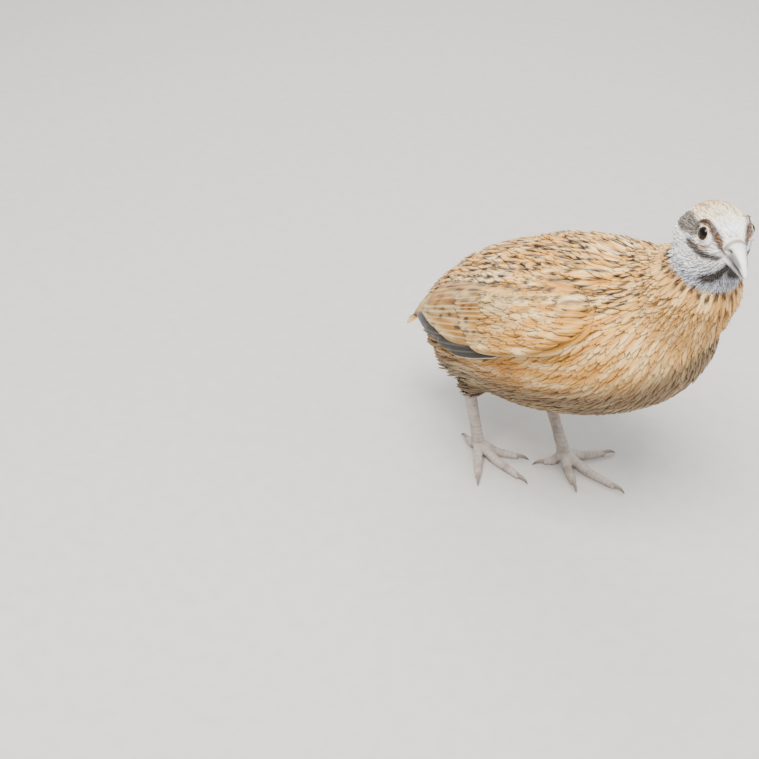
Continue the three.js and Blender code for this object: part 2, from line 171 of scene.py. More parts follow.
@dataclass
class Form:
    """Triangles of one or more closed bodies, with what their finish needs at each vertex."""

    points: Points
    faces: Points
    hue: Points | None = None
    vane: Points | None = None
    mark: Points | None = None
    patch: Points | None = None

    @staticmethod
    def joined(forms: Sequence["Form"]) -> "Form":
        """Several forms as one.

        Args:
            forms: The forms, in order.

        Returns:
            One form, with the layers that all of them have.
        """
        starts = np.cumsum([0] + [len(f.points) for f in forms[:-1]])
        merged = Form(
            np.concatenate([f.points for f in forms]),
            np.concatenate([f.faces + s for f, s in zip(forms, starts)]),
        )
        for name in ("hue", "vane", "mark", "patch"):
            if all(getattr(f, name) is not None for f in forms):
                setattr(merged, name, np.concatenate([getattr(f, name) for f in forms]))
        return merged

    def piece(self, name: str, finish: bpy.types.Material) -> bpy.types.Object:
        """Make the form a smooth mesh object that rides on the bird.

        Args:
            name: The piece's name.
            finish: Its material.

        Returns:
            The new object.
        """
        mesh = bpy.data.meshes.new(name)
        mesh.vertices.add(len(self.points))
        mesh.vertices.foreach_set("co", ((self.points + ORIGIN) * MM).astype(np.float32).ravel())
        mesh.loops.add(self.faces.size)
        mesh.loops.foreach_set("vertex_index", self.faces.astype(np.int32).ravel())
        mesh.polygons.add(len(self.faces))
        mesh.polygons.foreach_set("loop_start", np.arange(0, self.faces.size, 3, dtype=np.int32))
        mesh.polygons.foreach_set("use_smooth", np.ones(len(self.faces), bool))
        mesh.update(calc_edges=True)
        if self.hue is not None:
            solid = np.concatenate([self.hue, np.ones((len(self.hue), 1))], axis=1)
            hue = mesh.attributes.new("hue", "FLOAT_COLOR", "POINT")
            hue.data.foreach_set("color", solid.astype(np.float32).ravel())
        for word in ("vane", "mark"):
            if getattr(self, word) is not None:
                layer = mesh.attributes.new(word, "FLOAT_VECTOR", "POINT")
                layer.data.foreach_set("vector", getattr(self, word).astype(np.float32).ravel())
        if self.patch is not None:
            layer = mesh.uv_layers.new(name="OFBake")
            layer.data.foreach_set("uv", self.patch[self.faces.ravel()].astype(np.float32).ravel())
        mesh.materials.append(finish)
        made = bpy.data.objects.new(name, mesh)
        bpy.context.scene.collection.objects.link(made)
        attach(made, "root")
        log.info("%s: %d triangles", name, len(self.faces))
        return made


def tube_faces(rings: int, sides: int) -> Points:
    """Triangles of a closed tube whose vertices run ring by ring, its ends closed by fans.

    Args:
        rings: How many rings it has.
        sides: How many points a ring has.

    Returns:
        The triangles.
    """
    r, k = np.meshgrid(np.arange(rings - 1), np.arange(sides), indexing="ij")
    a = r * sides + k
    b = r * sides + (k + 1) % sides
    walls = np.stack([a, b, b + sides, a, b + sides, a + sides], -1).reshape(-1, 3)
    fan = np.arange(1, sides - 1)
    near = np.stack([np.zeros_like(fan), fan + 1, fan], -1)
    far = np.stack([np.zeros_like(fan), fan, fan + 1], -1) + (rings - 1) * sides
    return np.concatenate([walls, near, far])


def facing_out(form: Form) -> Form:
    """Turn a closed form's faces outwards if they point in.

    Args:
        form: The form.

    Returns:
        The same form.
    """
    a, b, c = (form.points[form.faces[:, k]] for k in range(3))
    if np.einsum("ij,ij->i", a, np.cross(b, c)).sum() < 0:
        form.faces = form.faces[:, ::-1].copy()
    return form


def loft(rings: Points) -> Form:
    """A closed form from an array of rings of points."""
    count, sides = rings.shape[:2]
    return facing_out(Form(rings.reshape(-1, 3), tube_faces(count, sides)))


def frames_along(path: Points, up: Sequence[float]) -> tuple[Points, Points, Points]:
    """Directions along, beside and over each point of a path.

    Args:
        path: The points, one path or many.
        up: The direction that "over" keeps nearest to.

    Returns:
        Unit vectors along the path, to its left and over it.
    """
    along = unit(np.gradient(path, axis=-2))
    beside = unit(np.cross(np.broadcast_to(np.asarray(up, float), path.shape), along))
    return along, beside, np.cross(along, beside)


def folded(own: Points) -> Points:
    """Points of the head's frame, those of its right side mirrored to the left."""
    return np.stack([own[..., 0], np.abs(own[..., 1]), own[..., 2]], -1)


@dataclass
class Trunk:
    """The trunk's loft, which carries the wings."""

    at: tuple[float, float, float] = (-12, 0, 68)
    pitch: float = math.radians(16)
    stations: tuple[tuple[float, ...], ...] = (
        (-61, 2.5, -1, 6),
        (-57, 8.5, 4, 12),
        (-48, 17, 12, 21),
        (-36, 25, 19.5, 28.5),
        (-20, 30.5, 25.5, 33),
        (-2, 33, 29, 35.5),
        (16, 33.3, 30, 35),
        (32, 31.3, 28, 31.5),
        (44, 27, 24.5, 27),
        (54, 20, 18.5, 20),
        (61, 11, 10.5, 11),
        (64, 3, 3, 3),
    )

    def __post_init__(self) -> None:
        """Work out the axes and the table from place to share."""
        self.forward = np.array([math.cos(self.pitch), 0, math.sin(self.pitch)])
        self.up = np.array([-math.sin(self.pitch), 0, math.cos(self.pitch)])
        self.shares = np.linspace(0, 1, 600)
        self.places = row(self.stations, self.shares)[:, 0]

    def girth(self, along: Any) -> Points:
        """The half width of the trunk at places along its axis."""
        return row(self.stations, np.interp(along, self.places, self.shares))[..., 1]

    def over(self, side: Side, along: Any, degrees: Any, lift: Any) -> Points:
        """Points over the trunk's surface.

        Args:
            side: Which side of the bird.
            along: Places along the axis.
            degrees: Degrees up from the side line.
            lift: Heights over the surface.

        Returns:
            The points.
        """
        share = np.interp(along, self.places, self.shares)
        place, wide, above, below = np.moveaxis(row(self.stations, share), -1, 0)
        angle = np.radians(degrees)
        c, s = np.cos(angle), np.sin(angle)
        longer = 1 + np.asarray(lift) / self.stations[-1][0]
        high = np.where(s > 0, above, below) + lift
        return (
            np.asarray(self.at, float)
            + self.forward * (place * longer)[..., None]
            + np.array([0, side.value, 0]) * (c * (wide + lift))[..., None]
            + self.up * (s * high)[..., None]
        )

    def read(self, points: Points) -> tuple[Points, Points]:
        """Where points lie on the trunk.

        Args:
            points: The points.

        Returns:
            The place along the axis, and the degrees up from the nearer side line.
        """
        rel = points - np.asarray(self.at, float)
        high = rel @ self.up
        return rel @ self.forward, np.degrees(np.arctan2(high, np.abs(rel[..., 1])))


@dataclass
class Head:
    """The head's own frame: +X towards the bill, +Y left, +Z up, from its middle."""

    at: tuple[float, float, float] = (47.3, -7.1, 122.8)
    yaw: float = math.radians(-37)
    pitch: float = math.radians(-3)
    eye: tuple[float, float, float] = (4, 5.2, 4.5)
    eye_radius: float = 3.35
    look: tuple[float, float, float] = (0.38, 1, 0.3)
    bill_root: tuple[float, float, float] = (11.5, 0, 2.2)
    beyond: float = 99.0

    def __post_init__(self) -> None:
        """Work out the turn from the head's frame to the bird's."""
        c, s = math.cos(self.yaw), math.sin(self.yaw)
        p, q = math.cos(self.pitch), math.sin(self.pitch)
        level = np.array([[c, -s, 0], [s, c, 0], [0, 0, 1]])
        self.turn = level @ np.array([[p, 0, q], [0, 1, 0], [-q, 0, p]])

    def out(self, points: Points) -> Points:
        """Points of the head's frame in the bird's."""
        return points @ self.turn.T + np.asarray(self.at)

    def into(self, points: Points) -> Points:
        """Points of the bird's frame in the head's."""
        return (points - np.asarray(self.at)) @ self.turn

    def eye_at(self, side: Side) -> Points:
        """The middle of one eye, in the head's frame."""
        return np.array(self.eye) * [1, side.value, 1]

    def gaze(self, side: Side) -> Points:
        """The direction out of one eye's opening, in the head's frame."""
        return unit(np.array(self.look) * [1, side.value, 1])

    def from_eye(self, own: Points) -> Points:
        """How far points lie from the nearer eye's line of sight.

        Args:
            own: Points of the head's frame.

        Returns:
            The distances, and a large one behind the eye.
        """
        rel = folded(own) - np.array(self.eye)
        gaze = self.gaze(Side.LEFT)
        ahead = rel @ gaze
        off = np.linalg.norm(rel - ahead[..., None] * gaze, axis=-1)
        return np.where(ahead > 0, off, self.beyond)


@dataclass
class Spine:
    """The line that the plumage streams along, from the bill's end of the neck to the tail."""

    stations: tuple[tuple[float, float, float], ...] = (
        (-82, 0, 40),
        (-62, 0, 57),
        (-38, 0, 62),
        (-12, 0, 67),
        (8, 0, 72),
        (22, -1, 81),
        (32, -2, 93),
        (39, -4, 104),
        (45, -6, 114),
        (48, -8, 124),
    )
    reach: float = 9.0
    droop: float = 0.28
    batch: int = 20_000

    def __post_init__(self) -> None:
        """Lay out the line's points, directions and lengths."""
        self.line = row(self.stations, np.linspace(0, 1, 90))
        self.run = unit(np.gradient(self.line, axis=0))
        steps = np.linalg.norm(np.diff(self.line, axis=0), axis=1)
        self.length = np.concatenate([[0], np.cumsum(steps)])

    def read(self, points: Points) -> tuple[Points, Points, Points]:
        """Where points lie by the line.

        Args:
            points: The points.

        Returns:
            The length along the line, the line's direction there, and the angle round it.
        """
        if len(points) > self.batch:
            cuts = range(0, len(points), self.batch)
            parts = [self.read(points[cut : cut + self.batch]) for cut in cuts]
            return tuple(np.concatenate(part) for part in zip(*parts))
        gaps = ((points[:, None, :] - self.line[None]) ** 2).sum(-1)
        weight = np.exp(-(gaps - gaps.min(1, keepdims=True)) / (2 * self.reach**2))
        weight /= weight.sum(1, keepdims=True)
        length = weight @ self.length
        run = unit(weight @ self.run)
        off = points - weight @ self.line
        beside = unit(np.cross([0, 0, 1.0], run))
        over = np.cross(run, beside)
        angle = np.arctan2((off * beside).sum(-1), (off * over).sum(-1))
        return length, run, angle


TRUNK = Trunk()
HEAD = Head()
SPINE = Spine()
COLLAR_AT = np.array([41.0, -6, 113])
COLLAR_NORMAL = unit(np.array([0.28, -0.1, 1]))


def headward(points: Points) -> Points:
    """The share of the head in points: 0 on the neck and body and 1 on the face."""
    return ramp((points - COLLAR_AT) @ COLLAR_NORMAL, -2.5, 3.5)


def vented(points: Points) -> Points:
    """The share of the loose fluff behind the legs in points."""
    return ramp(points[..., 0], -22, -36) * ramp(points[..., 2], 60, 47)


@dataclass(frozen=True)
class Palette:
    """The bird's colours, some of them carrying painted shade."""

    gold: str = "bd8028"
    buff: str = "d39d48"
    cream: str = "f2dba8"
    rufous: str = "965a1a"
    belly_and_shade: str = "58452f"
    umber: str = "372214"
    brown: str = "573a24"
    slate: str = "1f1c1c"
    white: str = "f3f3f3"
    lavender_shade: str = "b6b8c2"
    ash: str = "4e4034"
    smoke: str = "393431"


PALETTE = Palette()


@dataclass(frozen=True)
class Spot:
    """A soft round mark of the face, in the head's frame, the same on both sides."""

    at: tuple[float, float, float]
    size: tuple[float, float, float]

    def on(self, own: Points) -> Points:
        """The mark's strength at points of the head's frame."""
        off = np.linalg.norm((folded(own) - np.array(self.at)) / np.array(self.size), axis=-1)
        return ramp(off, 1.05, 0.55)


@dataclass(frozen=True)
class Stripe:
    """A soft line of the face along a path, the same on both sides, full over its core's share."""

    path: tuple[tuple[float, float, float], ...]
    wide: float
    core: float = 0.35

    def on(self, own: Points) -> Points:
        """The line's strength.

        Args:
            own: Points of the head's frame.

        Returns:
            A share from 0 to 1 for each point.
        """
        mirrored = folded(own)
        best = np.full(own.shape[:-1], HEAD.beyond)
        stations = np.array(self.path, float)
        for a, b in zip(stations[:-1], stations[1:]):
            run = b - a
            share = np.clip(((mirrored - a) @ run) / (run @ run), 0, 1)
            best = np.minimum(best, np.linalg.norm(mirrored - (a + share[..., None] * run), axis=-1))
        return ramp(best, self.wide, self.wide * self.core)


@dataclass(frozen=True)
class Dashes:
    """A scatter of short dark dashes: spacing and half size, each along and across, and a seed."""

    step: tuple[float, float]
    half: tuple[float, float]
    seed: int
    shown: float = 0.78

    def on(self, flow: Points) -> Points:
        """The dashes' strength.

        Args:
            flow: The length along the spine and the reach round it, in millimetres.

        Returns:
            A share from 0 to 1 for each place.
        """
        lane = np.floor(flow[:, 1] / self.step[1])
        ids = np.stack([lane, lane * 0, lane * 0], -1)
        shifted = flow[:, 0] + lattice(ids, self.seed) * self.step[0] * 2
        ids[:, 1] = np.floor(shifted / self.step[0])
        slip, drift, chance, growth = (lattice(ids, self.seed + k) for k in range(1, 5))
        along = shifted - (ids[:, 1] + 0.5 + (slip - 0.5) * 0.3) * self.step[0]
        across = flow[:, 1] - (lane + 0.5 + (drift - 0.5) * 0.45) * self.step[1]
        far = np.hypot(along / (self.half[0] * (0.7 + 0.5 * growth)), across / self.half[1])
        return (chance < self.shown) * ramp(far, 1.35, 0.8)


@dataclass(frozen=True)
class Markings:
    """The plumage's colours and marks as functions of place."""

    palette: Palette = PALETTE
    girth: float = 26.0
    streaks: tuple[tuple[float, ...], ...] = ((9, 1.7, 1), (4, 0.8, 1))
    blotches: tuple[float, ...] = (20, 9, 1)
    back: tuple[float, float] = (18, 44)
    belly_and_shade: tuple[float, float] = (-10, -38)
    dashes: Dashes = Dashes((7.0, 2.9), (2.9, 0.9), 51)
    dots: Dashes = Dashes((5.0, 2.8), (1.3, 0.85), 52)
    crown: tuple[Stripe, ...] = (
        Stripe(((-10, 1.0, 10), (-4, 0.8, 11.2), (2.2, 0.7, 11.0)), 1.1),
        Stripe(((-10, 4.2, 8.6), (-4, 3.6, 10.3), (3.2, 3.0, 10.1)), 1.0),
    )
    ear: tuple[Spot, ...] = (
        Spot((-5.0, 8.8, 5.2), (7.6, 4.4, 3.7)),
        Spot((0.2, 9.0, 5.4), (4.2, 3.6, 3.2)),
    )
    eyebrow: Stripe = Stripe(
        ((11.2, 3.2, 1.4), (9.4, 4.6, 4.0), (8.0, 5.3, 6.2), (5.2, 6.5, 8.0), (1.6, 7.4, 8.6)), 2.0
    )
    lore: Spot = Spot((8.9, 5.0, 4.6), (1.7, 2, 1.7))
    under_eye: Stripe = Stripe(((2.6, 9.0, 1.2), (5.2, 8.2, 0.9), (7.4, 6.8, 1.8)), 1.1)
    freckles: Spot = Spot((3.6, 9.0, 1.2), (5.4, 3.4, 2.4))
    whisker: Stripe = Stripe(
        ((0.6, 10.4, 0.9), (3.2, 9.6, -0.1), (6.2, 8.3, -1.1), (9.0, 6.3, -1.3), (10.6, 4.6, -1.0)), 2.0
    )
    throat_smudge_and_shadow: Stripe = Stripe(
        ((6.4, 5.9, -9.3), (7.2, 4.0, -8.8), (7.8, 2.0, -7.8), (9.3, 1.3, -6.0), (10.6, 0.7, -4.2)),
        2.9,
        0.0,
    )
    bill_rim: Stripe = Stripe(((10.3, 0, 6.0), (10.6, 2.4, 5.2), (11.0, 3.8, 3.2)), 0.9)
    collar_dots: int = 30
    inner_dots: int = 28
    plain_vane: tuple[float, float, float] = (0.3, 0.5, 0.4)

    def colour(self, name: str) -> Points:
        """One of the palette's colours."""
        return tint(getattr(self.palette, name))

    def wash(self, hue: Points, name: str, share: Any) -> Points:
        """Colours with a share of one of the palette's over them."""
        return blend(hue, self.colour(name), share)

    def body(self, points: Points) -> Points:
        """The colour of the body's and neck's plumage, with painted shade on the underside.

        Args:
            points: Points of the bird.

        Returns:
            A colour for each point.
        """
        along, degrees = TRUNK.read(points)
        length, _, angle = SPINE.read(points)
        flow = np.stack([length, angle * self.girth, np.zeros_like(length)], -1)
        coarse, thin = (grain(flow, size, seed) for size, seed in zip(self.streaks, (3, 4)))
        streak = 0.7 * coarse + 0.3 * thin
        broad = grain(flow, self.blotches, 5)
        back = ramp(degrees, *self.back)
        hue = self.wash(self.colour("gold"), "buff", ramp(streak, 0.25, 0.6))
        hue = self.wash(hue, "rufous", 0.55 * ramp(broad, 0.45, 0.8) * (1 - 0.6 * back))
        rear = ramp(along, 12, -30) * bump(degrees, -32, 42)
        hue = self.wash(hue, "rufous", 0.5 * rear * (0.4 + 0.6 * streak))
        # Partly the belly's own brown and partly painted shade: the underside, most of all its rear by the
        # legs, is washed dark brown and loses its pale streaks.
        under = ramp(degrees, *self.belly_and_shade)
        under = np.maximum(under, 0.8 * ramp(along, -26, -46) * ramp(degrees, 0, -24))
        hue = self.wash(hue, "belly_and_shade", 0.9 * under)
        hue = self.wash(hue, "ash", 0.45 * vented(points))
        pale = ramp(streak, 0.5, 0.8) * (0.5 + 0.1 * back) * (1 - 0.55 * under)
        breast = ramp(along, 34, 54) * ramp(degrees, -42, -20)
        hue = self.wash(hue, "cream", np.maximum(pale, 0.1 * breast))
        hue = hue * (1 - 0.3 * ramp(along, 16, 2) * bump(degrees, 22, 26))[..., None]
        wing_rear = ramp(along, 4, -12) * ramp(degrees, 2, 14) * ramp(along, -50, -44)
        dashes = self.dashes.on(flow) * back * ramp(along, 56, 44)
        dots = self.dots.on(flow) * wing_rear * (1 - back)
        return self.wash(hue, "umber", np.maximum(dashes, dots))

    def face(self, own: Points) -> Points:
        """The colour of the head's plumage, with painted shade low on the face and under the bill.

        Args:
            own: Points of the head's frame.

        Returns:
            A colour for each point.
        """
        x, z = own[..., 0], own[..., 2]
        fine = grain(own, (1.4, 0.5, 0.5), 11)
        soft = grain(own, (4, 1.6, 1.6), 12)
        # Painted shade: the white face turns lavender-grey lower down, under the head.
        hue = self.wash(self.colour("lavender_shade"), "white", ramp(z + 3.0 * soft, -8.5, -2.0))
        crown = ramp(z, 6.0, 9) * ramp(x, 7.5, 2.5)
        hue = self.wash(hue, "cream", 0.75 * crown)
        hue = self.wash(hue, "buff", 0.5 * crown * ramp(x, 1.5, -6) * (0.5 + soft))
        streaks = np.maximum(*(stripe.on(own) for stripe in self.crown))
        hue = self.wash(hue, "brown", 0.5 * streaks * ramp(soft, 0.2, 0.5))
        ear = np.clip(1.35 * np.maximum(*(spot.on(own) for spot in self.ear)), 0, 1)
        hue = self.wash(hue, "ash", 0.97 * ear * (0.8 + 0.3 * fine))
        dusky = blend(self.colour("brown"), self.colour("ash"), 0.55)
        hue = blend(hue, dusky, np.clip(self.eyebrow.on(own) * (0.75 + 0.5 * fine), 0, 1))
        hue = self.wash(hue, "rufous", 0.25 * self.lore.on(own))
        hue = self.wash(hue, "buff", 0.6 * self.under_eye.on(own))
        hue = self.wash(hue, "brown", 0.6 * self.freckles.on(own) * ramp(fine, 0.45, 0.7))
        cheek = self.whisker.on(own)
        hue = self.wash(hue, "ash", np.clip(cheek * 1.2, 0, 1) * 0.9)
        hue = self.wash(hue, "smoke", np.clip(cheek * (fine - 0.25) * 2.2, 0, 1) * 0.9)
        # Partly a dark smudge of the throat and partly painted shadow under the bill: a near-black patch
        # below it.
        chin_smudge_and_shadow = np.clip(1.5 * self.throat_smudge_and_shadow.on(own) * (0.7 + 0.5 * fine), 0, 1)
        hue = self.wash(hue, "smoke", chin_smudge_and_shadow)
        return self.wash(hue, "gold", 0.7 * self.bill_rim.on(own))

    def hue(self, points: Points) -> Points:
        """The plumage's colour anywhere on the bird, with the dotted collar below the face.

        Args:
            points: Points of the bird.

        Returns:
            A colour for each point.
        """
        over = (points - COLLAR_AT) @ COLLAR_NORMAL
        hue = blend(self.body(points), self.face(HEAD.into(points)), ramp(over, -0.5, 0.9))
        _, _, angle = SPINE.read(points)
        wave = over + 0.7 * np.sin(angle * 9)
        turn = angle * self.collar_dots
        dots = ramp(np.sin(turn), -0.5, 0.0) * np.clip(3.0 * bump(wave, -1.5, 1.9), 0, 1)
        hue = self.wash(hue, "umber", 0.95 * dots)
        turn = angle * self.inner_dots + 1.6
        inner = ramp(np.sin(turn), -0.3, 0.4) * np.clip(1.8 * bump(wave, 2.8, 1.5), 0, 1)
        return self.wash(hue, "ash", 0.55 * inner)

    def marks(self, points: Points) -> Points:
        """How strongly feathers show a dark patch, a pale shaft and a pale rim.

        Args:
            points: Where the feathers grow.

        Returns:
            Three shares for each point.
        """
        _, degrees = TRUNK.read(points)
        body = 1 - headward(points)
        shaft = body * (0.35 + 0.3 * ramp(degrees, 24, 46) * body)
        return np.stack([0 * body, shaft, 0.12 * body], -1)

    def dress(self, form: Form) -> None:
        """Colour a form that has no vanes of its own by its place.

        Args:
            form: The form.
        """
        form.hue = self.hue(form.points)
        form.mark = np.zeros_like(form.points)
        form.vane = np.tile(self.plain_vane, (len(form.points), 1))


MARKINGS = Markings()


class Value:
    """A shader socket whose operators add Math nodes."""

    def __init__(self, shading: "Shading", socket: bpy.types.NodeSocket) -> None:
        """Hold a socket and the tree that it is in."""
        self.shading = shading
        self.socket = socket

    def _math(self, operation: str, first: Any, second: Any) -> "Value":
        """Add one Math node."""
        return self.shading.node("ShaderNodeMath", {"operation": operation}, {0: first, 1: second})

    def __add__(self, other: Any) -> "Value":
        """Add."""
        return self._math("ADD", self, other)

    __radd__ = __add__

    def __sub__(self, other: Any) -> "Value":
        """Subtract."""
        return self._math("SUBTRACT", self, other)

    def __rsub__(self, other: Any) -> "Value":
        """Subtract from a number."""
        return self._math("SUBTRACT", other, self)

    def __mul__(self, other: Any) -> "Value":
        """Multiply."""
        return self._math("MULTIPLY", self, other)

    __rmul__ = __mul__

    def __abs__(self) -> "Value":
        """The size without the sign."""
        return self._math("ABSOLUTE", self, 0)

    def sine(self) -> "Value":
        """The sine of an angle in radians."""
        return self._math("SINE", self, 0)

    def sign(self) -> "Value":
        """Minus one, nought or one by the sign."""
        return self._math("SIGN", self, 0)

    def most(self, other: Any) -> "Value":
        """The larger of two."""
        return self._math("MAXIMUM", self, other)

    def ramp(self, low: float, high: float) -> "Value":
        """A smooth rise from 0 at low to 1 at high, or a fall where high is the smaller."""
        inputs = {"Value": self, "From Min": low, "From Max": high}
        return self.shading.node("ShaderNodeMapRange", {"interpolation_type": "SMOOTHSTEP"}, inputs)


class Shading:
    """One material's nodes."""

    def __init__(self, name: str) -> None:
        """Start a material with its shader and output.

        Args:
            name: The material's name.
        """
        self.material = bpy.data.materials.new(name)
        self.material.use_nodes = True
        self.tree = self.material.node_tree
        self.tree.nodes.clear()
        self.shader = self.tree.nodes.new("ShaderNodeBsdfPrincipled")
        output = self.tree.nodes.new("ShaderNodeOutputMaterial")
        self.tree.links.new(self.shader.outputs[0], output.inputs["Surface"])

    def node(self, kind: str, settings: dict[str, Any], inputs: dict[Any, Any], output: Any = 0) -> Value:
        """Add a node.

        Args:
            kind: The node's type.
            settings: Its properties, set first.
            inputs: Values or links by the name or number of each socket.
            output: The name or number of the socket to read.

        Returns:
            The socket read.
        """
        made = self.tree.nodes.new(kind)
        for key, value in settings.items():
            setattr(made, key, value)
        for key, value in inputs.items():
            self.put(made.inputs[key], value)
        return Value(self, made.outputs[output])

    def put(self, socket: bpy.types.NodeSocket, value: Any) -> None:
        """Set or link one socket.

        Args:
            socket: The socket.
            value: A number, a colour or a link.
        """
        if isinstance(value, Value):
            self.tree.links.new(value.socket, socket)
        elif isinstance(value, np.ndarray) and len(socket.default_value) == 4:
            socket.default_value = (*value, 1)
        else:
            socket.default_value = value

    def attribute(self, name: str, output: str) -> Value:
        """Read one of the mesh's own layers."""
        return self.node("ShaderNodeAttribute", {"attribute_name": name}, {}, output)

    def parts(self, vector: Value) -> tuple[Value, ...]:
        """The three numbers of a vector."""
        split = self.node("ShaderNodeSeparateXYZ", {}, {0: vector})
        return tuple(Value(self, s) for s in split.socket.node.outputs)

    def mix(self, first: Any, second: Any, share: Any) -> Value:
        """Mix two colours."""
        return self.node("ShaderNodeMix", {"data_type": "RGBA"}, {0: share, 6: first, 7: second}, 2)

    def place(self) -> Value:
        """Places on the object, in metres."""
        return self.node("ShaderNodeTexCoord", {}, {}, "Object")

    def noise(self, size: float, detail: float = 3) -> Value:
        """Noise with cells of a size in millimetres."""
        inputs = {"Vector": self.place(), "Scale": 1 / (size * MM), "Detail": detail}
        return self.node("ShaderNodeTexNoise", {}, inputs, "Fac")

    def bump(self, height: Any, distance: float, strength: float = 1.0) -> None:
        """Feed a height in millimetres of relief to the shader's normal."""
        inputs = {"Height": height, "Distance": distance * MM, "Strength": strength}
        self.put(self.shader.inputs["Normal"], self.node("ShaderNodeBump", {}, inputs))

    def finish(self, **values: Any) -> bpy.types.Material:
        """Set the shader's sockets.

        Args:
            values: Values or links by the socket's name, spelled with underscores.

        Returns:
            The material.
        """
        for key, value in values.items():
            self.put(self.shader.inputs[key.replace("_", " ")], value)
        return self.material


@dataclass(frozen=True)
class PlumageFinish:
    """Feathers: the place's colour, with the shaft, dashes, rim and barbs of each vane."""

    name: str = "plumage"
    dash: str = PALETTE.umber
    pale: str = PALETTE.cream
    barbs: float = 80.0
    rough: float = 0.78

    def build(self) -> bpy.types.Material:
        """Make the material.

        Returns:
            The material.
        """
        shading = Shading(self.name)
        along, across, own = shading.parts(shading.attribute("vane", "Vector"))
        dash, shaft, rim = shading.parts(shading.attribute("mark", "Vector"))
        out = abs(across)
        hue = shading.attribute("hue", "Color")
        tone = 0.9 + own * 0.16
        darker = shading.node("ShaderNodeVectorMath", {"operation": "SCALE"}, {0: hue, "Scale": tone})
        line = out.ramp(0.2, 0.03) * along.ramp(0.2, 0.55) * shaft
        colour = shading.mix(darker, tint(self.pale), line * 0.6)
        edge = out.ramp(0.62, 0.98).most(along.ramp(0.86, 1.0)) * rim
        colour = shading.mix(colour, tint(self.pale), edge * 0.7)
        side = across * dash.sign()
        patch = along.ramp(0.35, 0.5) * along.ramp(0.9, 0.75) * side.ramp(0.02, 0.2) * side.ramp(0.85, 0.6)
        colour = shading.mix(colour, tint(self.dash), patch * abs(dash) * 0.9)
        wave = (along * self.barbs + out * (self.barbs * 0.35)).sine() * 0.5 + 0.5
        shading.bump(wave * 0.5 + shading.noise(0.25, 2) * 0.5, 0.1, 0.45)
        return shading.finish(
            Base_Color=colour, Roughness=self.rough, Sheen_Weight=0.12, Specular_IOR_Level=0.25
        )


@dataclass(frozen=True)
class HornFinish:
    """Horn of the bill or claws, in the mesh's own colours, with fine mottling."""

    name: str
    dark: str = "6e655c"
    streak: float = 0.9
    rough: float = 0.36

    def build(self) -> bpy.types.Material:
        """Make the material.

        Returns:
            The material.
        """
        shading = Shading(self.name)
        mottled = shading.noise(self.streak, 4)
        hue = shading.attribute("hue", "Color")
        colour = shading.mix(hue, tint(self.dark), mottled.ramp(0.5, 0.85) * 0.3)
        shading.bump(mottled, 0.07, 0.5)
        return shading.finish(
            Base_Color=colour,
            Roughness=self.rough + mottled * 0.12,
            Subsurface_Weight=0.08,
            Subsurface_Scale=0.002,
        )


@dataclass(frozen=True)
class LegFinish:
    """Scaly skin of the legs and toes."""

    name: str = "leg_skin"
    pale: str = "aaa097"
    warm: str = "8f8176"
    crease: str = "5d524a"

    def build(self) -> bpy.types.Material:
        """Make the material.

        Returns:
            The material.
        """
        shading = Shading(self.name)
        crease = shading.attribute("hue", "Fac")
        mottled = shading.noise(4.5, 5)
        colour = shading.mix(tint(self.pale), tint(self.warm), mottled.ramp(0.35, 0.75))
        # Painted shade in the creases between the scales.
        colour = shading.mix(colour, tint(self.crease), crease * 0.38)
        scales = shading.node(
            "ShaderNodeTexVoronoi",
            {"feature": "DISTANCE_TO_EDGE"},
            {"Vector": shading.place(), "Scale": 1 / (0.9 * MM)},
            "Distance",
        )
        shading.bump(scales.ramp(0.0, 0.18) * 0.5 + mottled * 0.3 - crease * 0.9, 0.12, 0.7)
        return shading.finish(
            Base_Color=colour, Roughness=0.5 + mottled * 0.15, Subsurface_Weight=0.12, Subsurface_Scale=0.002
        )


@dataclass(frozen=True)
class LidFinish:
    """Bare skin of the eyelids."""

    name: str = "lid_skin"
    dark: str = "6d5c4b"

    def build(self) -> bpy.types.Material:
        """Make the material.

        Returns:
            The material.
        """
        shading = Shading(self.name)
        mottled = shading.noise(0.5, 4)
        hue = shading.attribute("hue", "Color")
        colour = shading.mix(hue, tint(self.dark), mottled.ramp(0.5, 0.9) * 0.3)
        shading.bump(mottled, 0.1, 0.6)
        return shading.finish(Base_Color=colour, Roughness=0.55 + mottled * 0.1)


@dataclass(frozen=True)
class EyeFinish:
    """The eyeball: a black pupil in a dark hazel iris under a clear, wet coat."""

    name: str = "eye"
    iris: str = "3a2415"
    pupil: str = "060505"
    rim: str = "140d09"

    def build(self) -> bpy.types.Material:
        """Make the material.

        Returns:
            The material.
        """
        shading = Shading(self.name)
        off, turn, _ = shading.parts(shading.attribute("vane", "Vector"))
        rays = (turn * 60).sine() * 0.5 + 0.5
        iris = shading.mix(tint(self.iris), tint(self.rim), rays * 0.5)
        colour = shading.mix(tint(self.pupil), iris, off.ramp(0.40, 0.46))
        colour = shading.mix(colour, tint(self.rim), off.ramp(0.6, 0.72))
        return shading.finish(
            Base_Color=colour, Roughness=0.2, Specular_IOR_Level=0.1, Coat_Weight=0.35, Coat_Roughness=0.02
        )


@dataclass(frozen=True)
class FloorFinish:
    """The pale floor."""

    name: str = "floor"
    pale: str = "b9b6b1"

    def build(self) -> bpy.types.Material:
        """Make the material.

        Returns:
            The material.
        """
        shading = Shading(self.name)
        fine = shading.noise(6, 3)
        colour = shading.mix(tint(self.pale), tint("aeaba5"), fine.ramp(0.3, 0.8) * 0.5)
        return shading.finish(Base_Color=colour, Roughness=0.85 + fine * 0.08)


